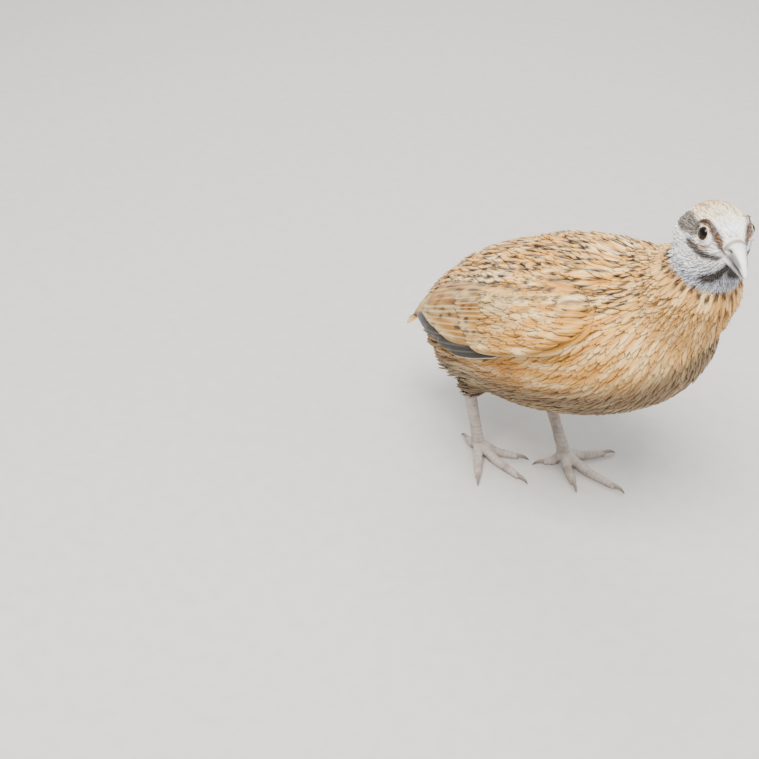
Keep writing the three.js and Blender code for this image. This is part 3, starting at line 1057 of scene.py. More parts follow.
def largest(mesh: bpy.types.Mesh) -> Form:
    """The largest closed surface of a mesh.

    Args:
        mesh: The mesh, in metres.

    Returns:
        The surface as triangles, in millimetres.
    """
    work = bmesh.new()
    work.from_mesh(mesh)
    bmesh.ops.triangulate(work, faces=work.faces)
    work.verts.ensure_lookup_table()
    label = [-1] * len(work.verts)
    sizes: list[int] = []
    for start in work.verts:
        if label[start.index] >= 0:
            continue
        stack, count = [start], 0
        label[start.index] = len(sizes)
        while stack:
            vert = stack.pop()
            count += 1
            for edge in vert.link_edges:
                other = edge.other_vert(vert)
                if label[other.index] < 0:
                    label[other.index] = len(sizes)
                    stack.append(other)
        sizes.append(count)
    best = int(np.argmax(sizes))
    drop = [v for v in work.verts if label[v.index] != best]
    bmesh.ops.delete(work, geom=drop, context="VERTS")
    work.verts.index_update()
    points = np.array([v.co for v in work.verts]) / MM - ORIGIN
    faces = np.array([[v.index for v in f.verts] for f in work.faces])
    work.free()
    return Form(points, faces)


def modified(mesh: bpy.types.Mesh, *steps: tuple[str, dict[str, Any]]) -> Form:
    """A mesh with modifiers applied, as its largest closed surface.

    Args:
        mesh: The mesh.
        steps: Each modifier's kind and settings, in order.

    Returns:
        The surface.
    """
    shape = bpy.data.objects.new(mesh.name, mesh)
    bpy.context.scene.collection.objects.link(shape)
    for kind, settings in steps:
        modifier = shape.modifiers.new(kind.lower(), kind)
        for setting, value in settings.items():
            setattr(modifier, setting, value)
    graph = bpy.context.evaluated_depsgraph_get()
    made = bpy.data.meshes.new_from_object(shape.evaluated_get(graph))
    bpy.data.objects.remove(shape)
    form = largest(made)
    bpy.data.meshes.remove(made)
    return form


@dataclass
class Hide:
    """The one skin under the plumage, fused from the solids of flesh and drawn in by the coat's depth."""

    nodes: tuple[str, ...] = ("torso", "neck", "head", "thigh_left", "thigh_right")
    grow: float = 0.5
    voxel: float = 0.8
    depth: float = 1.7
    head_depth: float = 0.55
    rounds: int = 14

    def build(self, finish: bpy.types.Material) -> bpy.types.Object:
        """Make the skin, keep its surface for the coat and dress it.

        Args:
            finish: The plumage material.

        Returns:
            The skin.
        """
        raw = bmesh.new()
        for node in self.nodes:
            raw.from_mesh(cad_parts[node].data)
        bmesh.ops.remove_doubles(raw, verts=raw.verts, dist=2e-6)
        bmesh.ops.recalc_face_normals(raw, faces=raw.faces)
        mesh = bpy.data.meshes.new("fused")
        raw.to_mesh(mesh)
        raw.free()
        swell = ("DISPLACE", {"mid_level": 0, "strength": self.grow * MM})
        form = modified(mesh, swell, ("REMESH", {"mode": "VOXEL", "voxel_size": self.voxel * MM}))
        form.points = self.settled(form)
        self.tree = BVHTree.FromPolygons(form.points.tolist(), form.faces.tolist())
        self.form = form
        MARKINGS.dress(form)
        made = form.piece("skin", finish)
        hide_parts(*self.nodes)
        return made

    def settled(self, form: Form) -> Points:
        """Smooth a form where the body's parts meet, and draw it in by the coat's depth.

        Args:
            form: The fused form.

        Returns:
            Its new points.
        """
        points = form.points.copy()
        pairs = np.concatenate([form.faces[:, pair] for pair in ([0, 1], [1, 2], [2, 0])])
        edges = np.unique(np.sort(pairs, 1), axis=0)
        count = np.bincount(edges.ravel(), minlength=len(points))[:, None]
        ease = blend(np.array([0.6]), np.array([0.25]), headward(points))
        for _ in range(self.rounds):
            total = np.zeros_like(points)
            np.add.at(total, edges[:, 0], points[edges[:, 1]])
            np.add.at(total, edges[:, 1], points[edges[:, 0]])
            points += (total / count - points) * ease
        normals = self.normals(points, form.faces)
        low = ramp(points[:, 2], 44, 32)
        depth = blend(np.array([self.depth]), np.array([self.head_depth]), np.maximum(headward(points), low))
        return points - normals * (depth + self.grow)

    @staticmethod
    def normals(points: Points, faces: Points) -> Points:
        """Unit normals at a mesh's points.

        Args:
            points: The points.
            faces: The triangles.

        Returns:
            A direction for each point.
        """
        a, b, c = (points[faces[:, k]] for k in range(3))
        flat = np.cross(b - a, c - a)
        total = np.zeros_like(points)
        for k in range(3):
            np.add.at(total, faces[:, k], flat)
        return unit(total)

    def extend(self, form: Form) -> None:
        """Let the coat grow on another form too."""
        self.form = Form.joined([Form(self.form.points, self.form.faces), Form(form.points, form.faces)])
        self.tree = BVHTree.FromPolygons(self.form.points.tolist(), self.form.faces.tolist())

    def near(self, points: Points) -> tuple[Points, Points]:
        """The nearest places on the skin, and the directions out of it there."""
        found = [self.tree.find_nearest(Vector(p)) for p in points]
        return np.array([f[0] for f in found]), np.array([f[1] for f in found])

    def scatter(self, count: int, draws: np.random.Generator, keep: Callable[[Points], Points]) -> Points:
        """Places spread at random over the skin.

        Args:
            count: How many to draw over the whole skin.
            draws: The random numbers.
            keep: Says which places are wanted.

        Returns:
            The wanted places.
        """
        a, b, c = (self.form.points[self.form.faces[:, k]] for k in range(3))
        area = np.linalg.norm(np.cross(b - a, c - a), axis=1)
        picked = draws.choice(len(area), count, p=area / area.sum())
        r, s = np.sqrt(draws.random((2, count, 1)))
        s = draws.random((count, 1))
        places = a[picked] * (1 - r) + b[picked] * (r * (1 - s)) + c[picked] * (r * s)
        return places[keep(places)]


def thinned(places: Points, gaps: Points) -> Points:
    """Which places to keep so that none lies nearer to an earlier one than its own gap.

    Args:
        places: The places in order of rank.
        gaps: The gap that each asks for.

    Returns:
        The numbers of the kept places.
    """
    cell = float(gaps.max())
    keys = np.floor(places / cell).astype(int)
    cells: dict[tuple[int, int, int], list[int]] = {}
    kept: list[int] = []
    around = [(i, j, k) for i in (-1, 0, 1) for j in (-1, 0, 1) for k in (-1, 0, 1)]
    rows = places.tolist()
    for index, (key, gap) in enumerate(zip(keys.tolist(), (gaps**2).tolist())):
        x, y, z = rows[index]
        clear = True
        for i, j, k in around:
            for other in cells.get((key[0] + i, key[1] + j, key[2] + k), ()):
                u, v, w = rows[other]
                if (x - u) ** 2 + (y - v) ** 2 + (z - w) ** 2 < gap:
                    clear = False
                    break
            if not clear:
                break
        if clear:
            cells.setdefault(tuple(key), []).append(index)
            kept.append(index)
    return np.array(kept)


def unwrapped(places: Points) -> Points:
    """Places on a flat unwrap of the skin: across by the angle round it, up by the length along it.

    Args:
        places: Points of the bird.

    Returns:
        Two shares for each point.
    """
    length, _, angle = SPINE.read(places)
    own = HEAD.into(places)
    on_head = headward(places) > 0.5
    wide = 0.5 + angle / (2 * math.pi) * 0.94
    body = np.stack([wide, 0.02 + 0.6 * np.clip(length / SPINE.length[-1], 0, 1)], -1)
    turn = np.arctan2(own[:, 1], own[:, 2] + 1)
    up = 0.66 + 0.32 * np.clip((own[:, 0] + 15) / 30, 0, 1)
    head = np.stack([0.5 + turn / (2 * math.pi) * 0.94, up], -1)
    return np.where(on_head[:, None], head, body)


def patches(roots: Points, vane: Points) -> Points:
    """Where feathers lie on the flat unwrap: a small patch round each one's root.

    Args:
        roots: Each feather's root.
        vane: Along, across and a number of its own at each point.

    Returns:
        Two shares for each point.
    """
    each = len(vane) // len(roots)
    return np.repeat(unwrapped(roots), each, axis=0) + (vane[:, :2] - [0.5, 0]) * PATCH * [1, 0.5]


def crosswise(out: Points, line: Points) -> Points:
    """The directions across vanes, from those out of them and their middle lines."""
    return unit(np.cross(out, unit(np.gradient(line, axis=1))))


@dataclass(frozen=True)
class VaneShape:
    """A feather's vane: a closed blade with a rounded top and a thin edge."""

    shares: tuple[float, ...] = (0.0, 0.25, 0.55, 0.8, 0.93, 1.0)
    girths: tuple[float, ...] = (0.35, 0.85, 1.0, 0.92, 0.72, 0.4)
    cells: tuple[float, ...] = (-1.0, -0.5, 0.0, 0.5, 1.0)
    thick: float = 0.1
    droop: float = 0.1
    fray: float = 0.9
    round: float = 0.7

    def lay(
        self, path: Points, beside: Points, over: Points, half: Points, draws: np.random.Generator
    ) -> tuple[Points, Points, Points]:
        """Lay vanes along paths.

        Args:
            path: The middle line of each vane, a point for each of the shares.
            beside: The direction across it at each point.
            over: The direction out of it at each point.
            half: Each vane's half width.
            draws: The random numbers.

        Returns:
            The points, the triangles, and along, across and a number of its own at each point.
        """
        count, steps = path.shape[:2]
        cells = np.array(self.cells)
        girth = half[:, None] * np.array(self.girths)
        out = girth[..., None] * cells
        rise = self.thick * (1 - cells**2) - self.droop * half[:, None, None] * cells**2
        top = path[:, :, None] + beside[:, :, None] * out[..., None] + over[:, :, None] * rise[..., None]
        length = np.linalg.norm(path[:, -1] - path[:, 0], axis=-1)
        stray = self.fray * draws.uniform(-1, 0.5, (count, 1, len(cells))) - self.round * cells**2
        stray = stray * (np.array(self.shares) ** 4)[:, None] * np.minimum(half, length * 0.3)[:, None, None]
        top = top + unit(np.gradient(path, axis=1))[:, :, None] * stray[..., None]
        under = path - over * self.thick * 0.6
        rings = np.concatenate([top, under[:, :, None]], 2)
        sides = rings.shape[2]
        faces = tube_faces(steps, sides)[None] + (np.arange(count) * steps * sides)[:, None, None]
        place = np.empty((count, steps, sides, 3))
        place[..., 0] = np.array(self.shares)[None, :, None]
        place[..., 1] = np.concatenate([cells, [0]])
        place[..., 2] = draws.random(count)[:, None, None]
        return rings.reshape(-1, 3), faces.reshape(-1, 3)[:, ::-1], place.reshape(-1, 3)


@dataclass
class Coat:
    """Small feathers spread over one stretch of the skin."""

    name: str
    hide: Hide
    shape: VaneShape
    count: int
    seed: int
    gap: Callable[[Points], Points]
    length: Callable[[Points], Points]
    half: Callable[[Points], Points]
    tilt: Callable[[Points], Points]
    keep: Callable[[Points], Points]
    base: Callable[[Points], Points] = lambda places: np.full(len(places), -0.2)
    stray: float = 0.12
    touch: Callable[[Points, Points], Points] | None = None

    def lie(self, places: Points, normals: Points) -> Points:
        """The way the feathers point.

        Args:
            places: Places on the skin.
            normals: The directions out of it there.

        Returns:
            A direction for each place.
        """
        _, run, _ = SPINE.read(places)
        along, degrees = TRUNK.read(places)
        flank = bump(degrees, -10, 60) * (1 - headward(places))
        stream = -run + np.array([0, 0, -1.0]) * (SPINE.droop * flank)[:, None]
        own = HEAD.into(places) - np.array(HEAD.bill_root)
        from_bill = unit(own) + np.array([-0.8, 0, 0])
        mirror = np.ones_like(places)
        mirror[:, 1] = np.where(own[:, 1] < 0, -1, 1)
        gaze = HEAD.gaze(Side.LEFT) * mirror
        rel = HEAD.into(places) - HEAD.eye_at(Side.LEFT) * mirror
        rel = rel - gaze * (rel * gaze).sum(-1, keepdims=True)
        parted = ramp(HEAD.from_eye(HEAD.into(places)), 4.4, 2.6)
        face = unit(unit(from_bill) + unit(rel) * 2.2 * parted[:, None]) @ HEAD.turn.T
        way = blend(stream, face, headward(places))
        way = way - normals * (way * normals).sum(-1, keepdims=True)
        return unit(way)

    def build(self, finish: bpy.types.Material) -> list[bpy.types.Object]:
        """Lay the feathers and dress them.

        Args:
            finish: The plumage material.

        Returns:
            The coat's pieces.
        """
        draws = np.random.default_rng(self.seed)
        places = self.hide.scatter(self.count, draws, self.keep)
        places = places[thinned(places, self.gap(places))]
        roots, over = self.hide.near(places)
        lengths = self.length(roots) * draws.uniform(0.85, 1.15, len(roots))
        drift = draws.normal(0, self.stray, (len(roots), 1))
        shares = np.array(self.shape.shares)
        path, outs = [roots], [over]
        for step in np.diff(shares):
            way = self.lie(path[-1], outs[-1])
            way = unit(way + np.cross(outs[-1], way) * drift)
            at, out = self.hide.near(path[-1] + way * (lengths * step)[:, None])
            path.append(at)
            outs.append(out)
        line, out = np.stack(path, 1), unit(np.stack(outs, 1))
        ruffled = self.tilt(roots) * draws.uniform(0.8, 1.25, len(roots))
        ruffled = ruffled * (0.5 + 1.1 * grain(roots, 8.0, 61))
        lift = self.base(roots)[:, None] + shares[None] * ruffled[:, None]
        line = line + out * lift[..., None]
        if self.touch is not None:
            fit = self.touch(roots, line)
            line, out, roots, lengths = line[fit], out[fit], roots[fit], lengths[fit]
        beside = crosswise(out, line)
        half = self.half(roots) * draws.uniform(0.85, 1.15, len(roots))
        points, faces, vane = self.shape.lay(line, beside, out, half, draws)
        return self.dressed(points, faces, vane, roots, finish)

    def dressed(
        self, points: Points, faces: Points, vane: Points, roots: Points, finish: bpy.types.Material
    ) -> list[bpy.types.Object]:
        """Colour the feathers by their roots' places and part them into pieces.

        Args:
            points: Every vane's points.
            faces: Every vane's triangles.
            vane: Along, across and a number of its own at each point.
            roots: Where each feather grows.
            finish: The plumage material.

        Returns:
            The pieces.
        """
        each = len(points) // len(roots)
        hue = MARKINGS.hue(points)
        mark = np.repeat(MARKINGS.marks(roots), each, axis=0)
        spot = patches(roots, vane)
        cut = tube_faces(len(self.shape.shares), len(self.shape.cells) + 1)[:, ::-1]
        parts = math.ceil(len(faces) / COAT_LIMIT)
        order = np.array_split(np.argsort(roots[:, 0], kind="stable"), parts)
        made = []
        for number, own in enumerate(order, 1):
            rows = (own[:, None] * each + np.arange(each)).ravel()
            shown = (cut[None] + (np.arange(len(own)) * each)[:, None, None]).reshape(-1, 3)
            form = Form(points[rows], shown, hue[rows], vane[rows], mark[rows], spot[rows])
            label = self.name if parts == 1 else f"{self.name}_{number}"
            piece = form.piece(label, finish)
            made.append(piece)
        return made


class Kind(Enum):
    """The kinds of feather that a wing shows."""

    PRIMARY = "primary"
    SECONDARY = "secondary"
    TERTIAL = "tertial"
    COVERT = "covert"


@dataclass(frozen=True)
class Tier:
    """One row of a wing's feathers, from its first to its last, each end as (along, degrees up)."""

    count: int
    roots: tuple[tuple[float, float], tuple[float, float]]
    tips: tuple[tuple[float, float], tuple[float, float]]
    half: float
    rise: tuple[float, float]
    kind: Kind = Kind.COVERT


SMALL = VaneShape()
STEPS = tuple(round(0.95 * i / 24, 4) for i in range(25)) + (0.98, 1.0)
BLADE = ((0, 0.08, 0.2, 0.5, 0.78, 0.88, 0.95, 0.985, 1), (0.25, 0.55, 0.82, 1, 0.95, 0.84, 0.62, 0.36, 0.1))
BROAD = VaneShape(
    shares=STEPS,
    girths=tuple(np.interp(STEPS, *BLADE)),
    cells=(-1.0, -0.8, -0.6, -0.4, -0.2, -0.08, 0.0, 0.08, 0.2, 0.4, 0.6, 0.8, 1.0),
    thick=0.3,
    droop=0.1,
    fray=0.25,
    round=0.1,
)


@dataclass
class Wing:
    """One folded wing: a thin bed over the trunk and its feathers in overlapping tiers."""

    side: Side
    seed: int = 70
    drift: float = 0.7
    bed_lift: float = 0.4
    bed_thick: float = 0.8
    outline: tuple[tuple[float, float, float], ...] = (
        (36, 30, 4),
        (31, 30, 9),
        (18, 30, 14),
        (0, 29, 15),
        (-16, 25, 12),
        (-30, 17, 8),
        (-40, 10, 4.5),
        (-45, 7, 1.6),
    )
    tiers: tuple[Tier, ...] = (
        Tier(9, ((3, 2), (-12, 14)), ((-25, -4.5), (-51, 6)), 3.0, (0.9, 1.7), Kind.PRIMARY),
        Tier(11, ((12, 11), (-6, 28)), ((-27, 7), (-44, 22)), 2.9, (1.2, 2.0), Kind.SECONDARY),
        Tier(7, ((4, 30), (-6, 50)), ((-40, 22), (-36, 46)), 3.6, (1.5, 2.4), Kind.TERTIAL),
        Tier(16, ((14, 6), (4, 50)), ((-11, 3), (-24, 46)), 2.6, (0.9, 2.5)),
        Tier(18, ((21, 8), (12, 52)), ((0, 4), (-12, 50)), 2.3, (0.8, 2.6)),
        Tier(19, ((27, 9), (20, 52)), ((9, 6), (-1, 52)), 2.1, (0.6, 2.6)),
    )
    top_edge: tuple[float, float] = (55, 30)
    front_edge: tuple[float, float] = (43, 24)
    sunk: float = -0.7
    shade: float = 0.7
    lesser_count: int = 5000
    lesser_gap: float = 1.5
    lesser_length: float = 9.0
    lesser_half: float = 1.25

    def lifted(self, along: Points, degrees: Points, lift: Points) -> Points:
        """Heights over the trunk, sunk towards the wing's upper and front edges."""
        full = ramp(degrees, *self.top_edge) * ramp(along, *self.front_edge)
        return self.sunk + (lift - self.sunk) * full

    def laid(self, along: Points, degrees: Points, lift: Points) -> tuple[Points, Points, Points]:
        """Lay middle lines over the trunk.

        Args:
            along: The places along the trunk.
            degrees: The degrees up from its side line.
            lift: The heights over it.

        Returns:
            The lines, the directions across them and the directions out of the trunk.
        """
        path = TRUNK.over(self.side, along, degrees, lift)
        out = unit(TRUNK.over(self.side, along, degrees, lift + 1) - path)
        return path, crosswise(out, path), out

    def lesser(self, draws: np.random.Generator) -> Form:
        """The small feathers of the wing's front, which run on from the body's.

        Args:
            draws: The random numbers.

        Returns:
            The feathers as one form.
        """
        count = self.lesser_count
        raw = np.stack([draws.uniform(2, 41, count), draws.uniform(2, 54, count)], -1)
        places = TRUNK.over(self.side, raw[:, 0], raw[:, 1], 2.0)
        inside = self.depth_inside(places) > 0.3
        raw, places = raw[inside], places[inside]
        kept = thinned(places, np.full(len(places), self.lesser_gap))
        raw = raw[kept]
        t = np.array(SMALL.shares)[None]
        along = raw[:, :1] - self.lesser_length * t * draws.uniform(0.85, 1.15, (len(raw), 1))
        degrees = raw[:, 1:] + (draws.normal(0, 1.2, (len(raw), 1)) - 1.5) * t
        lift = self.lifted(along, degrees, 2.2 + 0.9 * t) + 0.3 * t
        path, beside, out = self.laid(along, degrees, lift)
        half = self.lesser_half * draws.uniform(0.85, 1.15, len(raw))
        points, faces, vane = SMALL.lay(path, beside, out, half, draws)
        each = len(points) // len(raw)
        roots = path[:, 0]
        marks = np.tile([0.0, 0.6, 0.1], (len(roots), 1))
        chosen = lattice(np.floor(roots * 7), 41)
        marks[:, 0] = np.where(chosen < 0.12, 0.7, 0) * ramp(raw[:, 1], 20, 40)
        mark = np.repeat(marks, each, axis=0)
        return Form(points, faces, MARKINGS.hue(points), vane, mark, patches(roots, vane))

    def bed(self) -> Form:
        """The thin bed that the feathers are set in.

        Returns:
            The bed as one form.
        """
        t = np.linspace(0, 1, 30)[:, None]
        angle = np.linspace(0, 2 * math.pi, 28, endpoint=False)[None]
        along, degrees, wide = np.moveaxis(row(self.outline, t), -1, 0)
        reach = np.degrees(np.cos(angle) * wide / TRUNK.girth(along))
        lift = self.bed_lift + np.maximum(np.sin(angle), 0) * self.bed_thick
        lift = self.lifted(along, degrees + reach, lift) - 0.2
        form = loft(TRUNK.over(self.side, along + 0 * angle, degrees + reach, lift))
        MARKINGS.dress(form)
        form.patch = unwrapped(form.points)
        return form

    def feathers(self, tier: Tier, draws: np.random.Generator) -> Form:
        """One tier's feathers.

        Args:
            tier: The tier.
            draws: The random numbers.

        Returns:
            The tier as one form.
        """
        share = np.linspace(0, 1, tier.count)[:, None]
        stray = draws.uniform(-self.drift, self.drift, (2, tier.count, 2))
        roots = blend(np.array(tier.roots[0]), np.array(tier.roots[1]), share[:, 0]) + stray[0]
        tips = blend(np.array(tier.tips[0]), np.array(tier.tips[1]), share[:, 0]) + stray[1]
        t = np.array(BROAD.shares)[None]
        along = roots[:, :1] + (tips - roots)[:, :1] * t
        degrees = roots[:, 1:] + (tips - roots)[:, 1:] * t
        own = draws.uniform(-0.15, 0.15, (tier.count, 1))
        lift = tier.rise[0] + (tier.rise[1] - tier.rise[0] + own) * t
        lift = self.lifted(along, degrees, lift)
        path, beside, out = self.laid(along, degrees, lift)
        half = tier.half * draws.uniform(0.92, 1.06, tier.count)
        points, faces, vane = BROAD.lay(path, beside, out, half, draws)
        each = len(points) // tier.count
        hue, mark = self.looks(tier, points, vane, np.repeat(share[:, 0], each))
        return Form(points, faces, hue, vane, mark, patches(path[:, 0], vane))

    def looks(self, tier: Tier, points: Points, vane: Points, rank: Points) -> tuple[Points, Points]:
        """The colours and marks of one tier.

        Args:
            tier: The tier.
            points: Its points.
            vane: Along, across and a number of its own at each point.
            rank: The share of the tier at which each point's feather stands.

        Returns:
            The colour and the marks at each point.
        """
        hue = MARKINGS.hue(points) * self.shade
        if tier.kind is not Kind.PRIMARY:
            return hue, np.tile([0.0, 0.5, 0.25], (len(points), 1))
        edge = ramp(np.abs(vane[:, 1]), 0.8, 1.0)
        hue = MARKINGS.wash(hue, "slate", ramp(vane[:, 0], 0.02, 0.12))
        hue = MARKINGS.wash(hue, "cream", edge * ramp(rank, 0.3, 0.0))
        return hue, np.tile([0.0, 0.1, 0.1], (len(points), 1))

    def build(self, finish: bpy.types.Material) -> bpy.types.Object:
        """Make the wing.

        Args:
            finish: The plumage material.

        Returns:
            The wing.
        """
        draws = np.random.default_rng(self.seed)
        forms = [self.bed(), *(self.feathers(tier, draws) for tier in self.tiers), self.lesser(draws)]
        made = Form.joined(forms)
        piece = made.piece(f"wing_{self.side.word}_feathers", finish)
        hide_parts(f"wing_{self.side.word}")
        return piece

    @classmethod
    def depth_inside(cls, places: Points) -> Points:
        """How far inside the wings' outline places on the body lie.

        Args:
            places: Places on the body.

        Returns:
            The depths in millimetres, less than 0 outside.
        """
        along, degrees = TRUNK.read(places)
        table = np.array(cls.outline)
        order = np.argsort(table[:, 0])
        middle = np.interp(along, table[order, 0], table[order, 1])
        wide = np.interp(along, table[order, 0], table[order, 2], left=-9, right=-9)
        return wide - np.abs(degrees - middle) * np.radians(TRUNK.girth(along))


@dataclass
class Tail:
    """The short drooping tail: a core, its long feathers and the coverts over and under them."""

    start: tuple[float, float, float] = (-54, 0, 65)
    droop: float = math.radians(45)
    core: tuple[tuple[float, float, float], ...] = (
        (0, 8, 5),
        (9, 10.5, 6.5),
        (17, 10.5, 5),
        (24, 8.5, 2.6),
        (28, 6, 1),
    )
    tiers: tuple[tuple[float, ...], ...] = (
        (12, 30, 8, 28, 3.0, 0, 2.2),
        (9, 30, 3, 23, 3.4, 2.4, 2.4),
        (8, 34, -2, 19, 3.2, 3.6, 3.0),
        (7, 26, 5, 21, 3.4, -2.4, -0.5),
        (6, 28, 0, 18, 3.4, -3.6, -1.2),
    )
    seed: int = 80

    def place(self, reach: Any, out: Any, up: Any) -> Points:
        """Points of the tail.

        Args:
            reach: How far along it they lie.
            out: How far to the side of its middle.
            up: How far over its middle.

        Returns:
            The points.
        """
        along = np.array([-math.cos(self.droop), 0, -math.sin(self.droop)])
        over = np.array([-math.sin(self.droop), 0, math.cos(self.droop)])
        reach, out, up = np.broadcast_arrays(reach, out, up)
        side = np.array([0, 1.0, 0]) * out[..., None]
        return np.array(self.start) + along * reach[..., None] + side + over * up[..., None]

    def build(self, finish: bpy.types.Material) -> bpy.types.Object:
        """Make the tail.

        Args:
            finish: The plumage material.

        Returns:
            The tail.
        """
        draws = np.random.default_rng(self.seed)
        t = np.linspace(0, 1, 16)[:, None]
        angle = np.linspace(0, 2 * math.pi, 26, endpoint=False)[None]
        reach, wide, high = np.moveaxis(row(self.core, t), -1, 0)
        core = loft(self.place(reach + 0 * angle, np.cos(angle) * wide * 0.9, np.sin(angle) * high * 0.8))
        MARKINGS.dress(core)
        core.patch = unwrapped(core.points)
        forms = [core]
        for count, spread, begin, length, half, rise, roof in self.tiers:
            off = np.linspace(-1, 1, int(count)) + draws.uniform(-0.04, 0.04, int(count))
            turn = np.radians(off * spread / 2)
            t = np.array(BROAD.shares)[None]
            run = (length * (1 - 0.12 * off**2))[:, None] * t
            spread_out = run * np.sin(turn)[:, None] + (off * 3)[:, None] * (1 - t)
            low = (rise - roof * np.abs(off))[:, None] + np.sign(rise or 1) * 0.5 * t
            path = self.place(begin + run * np.cos(turn)[:, None], spread_out, low)
            over = np.broadcast_to(self.place(0, 0, 1) - self.place(0, 0, 0), path.shape)
            over = over * (1 if rise >= 0 else -1)
            beside = crosswise(over, path)
            out = np.cross(unit(np.gradient(path, axis=1)), beside)
            points, faces, vane = BROAD.lay(path, beside, out, np.full(int(count), half), draws)
            each = len(points) // int(count)
            roots = np.repeat(path[:, 0], each, axis=0)
            hue = blend(MARKINGS.hue(roots), MARKINGS.colour("buff"), 0.4)
            mark = np.tile([0.4, 0.8, 0.4], (len(points), 1))
            forms.append(Form(points, faces, hue, vane, mark, patches(path[:, 0], vane)))
        piece = Form.joined(forms).piece("tail_feathers", finish)
        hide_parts("tail")
        return piece


@dataclass
class Bill:
    """Both halves of the bill, which meet along the mouth."""

    rings: int = 44
    sides: int = 36
    upper: tuple[tuple[float, ...], ...] = (
        (6.8, 2.8, 3.9, 2.9),
        (10, 2.6, 3.5, 2.7),
        (13, 1.6, 2.7, 2.25),
        (16, 0, 1.9, 1.7),
        (18.4, -1.8, 1.05, 1.1),
        (19.6, -3.1, 0.4, 0.45),
    )
    lower: tuple[tuple[float, ...], ...] = (
        (6.8, -0.8, 3.6, 1.7),
        (10, -1, 3.1, 1.6),
        (13, -1.7, 2.4, 1.35),
        (16, -2.8, 1.5, 1),
        (17.9, -3.9, 0.5, 0.5),
    )
    nostril: tuple[float, float, float] = (12.3, 2.3, 2.3)
    pale: str = "e9e4dc"
    grey_and_shade: str = "55565b"
    dark: str = "3d3631"

    def half(self, table: tuple[tuple[float, ...], ...], top: bool) -> Form:
        """One half of the bill.

        Args:
            table: Place along, height of the middle, half width and half height.
            top: Whether it is the upper half.

        Returns:
            The half as a form in the bird's frame.
        """
        t = np.linspace(0, 1, self.rings)[:, None]
        angle = np.linspace(0, 2 * math.pi, self.sides, endpoint=False)[None]
        along, middle, wide, high = np.moveaxis(row(table, t), -1, 0)
        c, s = np.cos(angle), np.sin(angle)
        ridge = 1 + 0.10 * np.maximum(s, 0) ** 6 if top else 1
        lowest = np.where(s < 0, 0.78 if top else 1.0, 1.0 if top else 0.5)
        y = np.sign(c) * np.abs(c) ** 0.9 * wide
        z = middle + s * high * ridge * lowest
        x = along + 0 * angle
        if top:
            gap = np.stack([x, np.abs(y), z], -1) - np.array(self.nostril)
            near = np.linalg.norm(gap / np.array([1.7, 1.2, 0.75]), axis=-1)
            y = y * (1 - 0.35 * ramp(near, 1, 0.4)) * (1 + 0.12 * bump(near, 1.25, 0.4))
        form = loft(HEAD.out(np.stack([x, y, z], -1)))
        # Painted shade: the bill's sides and its lower half are greyed from the nostril onward, with the
        # ridge left pale and the grey fading out at the tip. The same grey also draws the bill's fine
        # streaks below.
        low = ramp(-s, -0.98, -0.6) if top else 1.0
        hue = blend(tint(self.pale), tint(self.grey_and_shade), 0.85 * low * ramp(x, 10.8, 14.5))
        hue = blend(hue, tint(self.pale), ramp(x, 17.0, 19.4))
        long_streaks = grain(np.stack([x, angle * 3 + 0 * x, 0 * x], -1), (4, 0.5, 1), 71)
        hue = blend(hue, tint(self.grey_and_shade), 0.2 * ramp(long_streaks, 0.45, 0.8))
        if top:
            # Painted shade in the nostril's hollow.
            hue = blend(hue, tint(self.dark), 0.9 * ramp(near, 0.95, 0.5))
            line = bump(x - 0.5 * s, 11.0, 1.1) * ramp(s, -0.6, 0.0)
            hue = blend(hue, tint(PALETTE.brown), 0.8 * line)
        form.hue = hue.reshape(-1, 3)
        return form

    def build(self, finish: bpy.types.Material) -> None:
        """Make both halves.

        Args:
            finish: The horn material.
        """
        for word, table in (("upper", self.upper), ("lower", self.lower)):
            piece = self.half(table, word == "upper").piece(f"bill_{word}_horn", finish)
            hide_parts(f"bill_{word}")


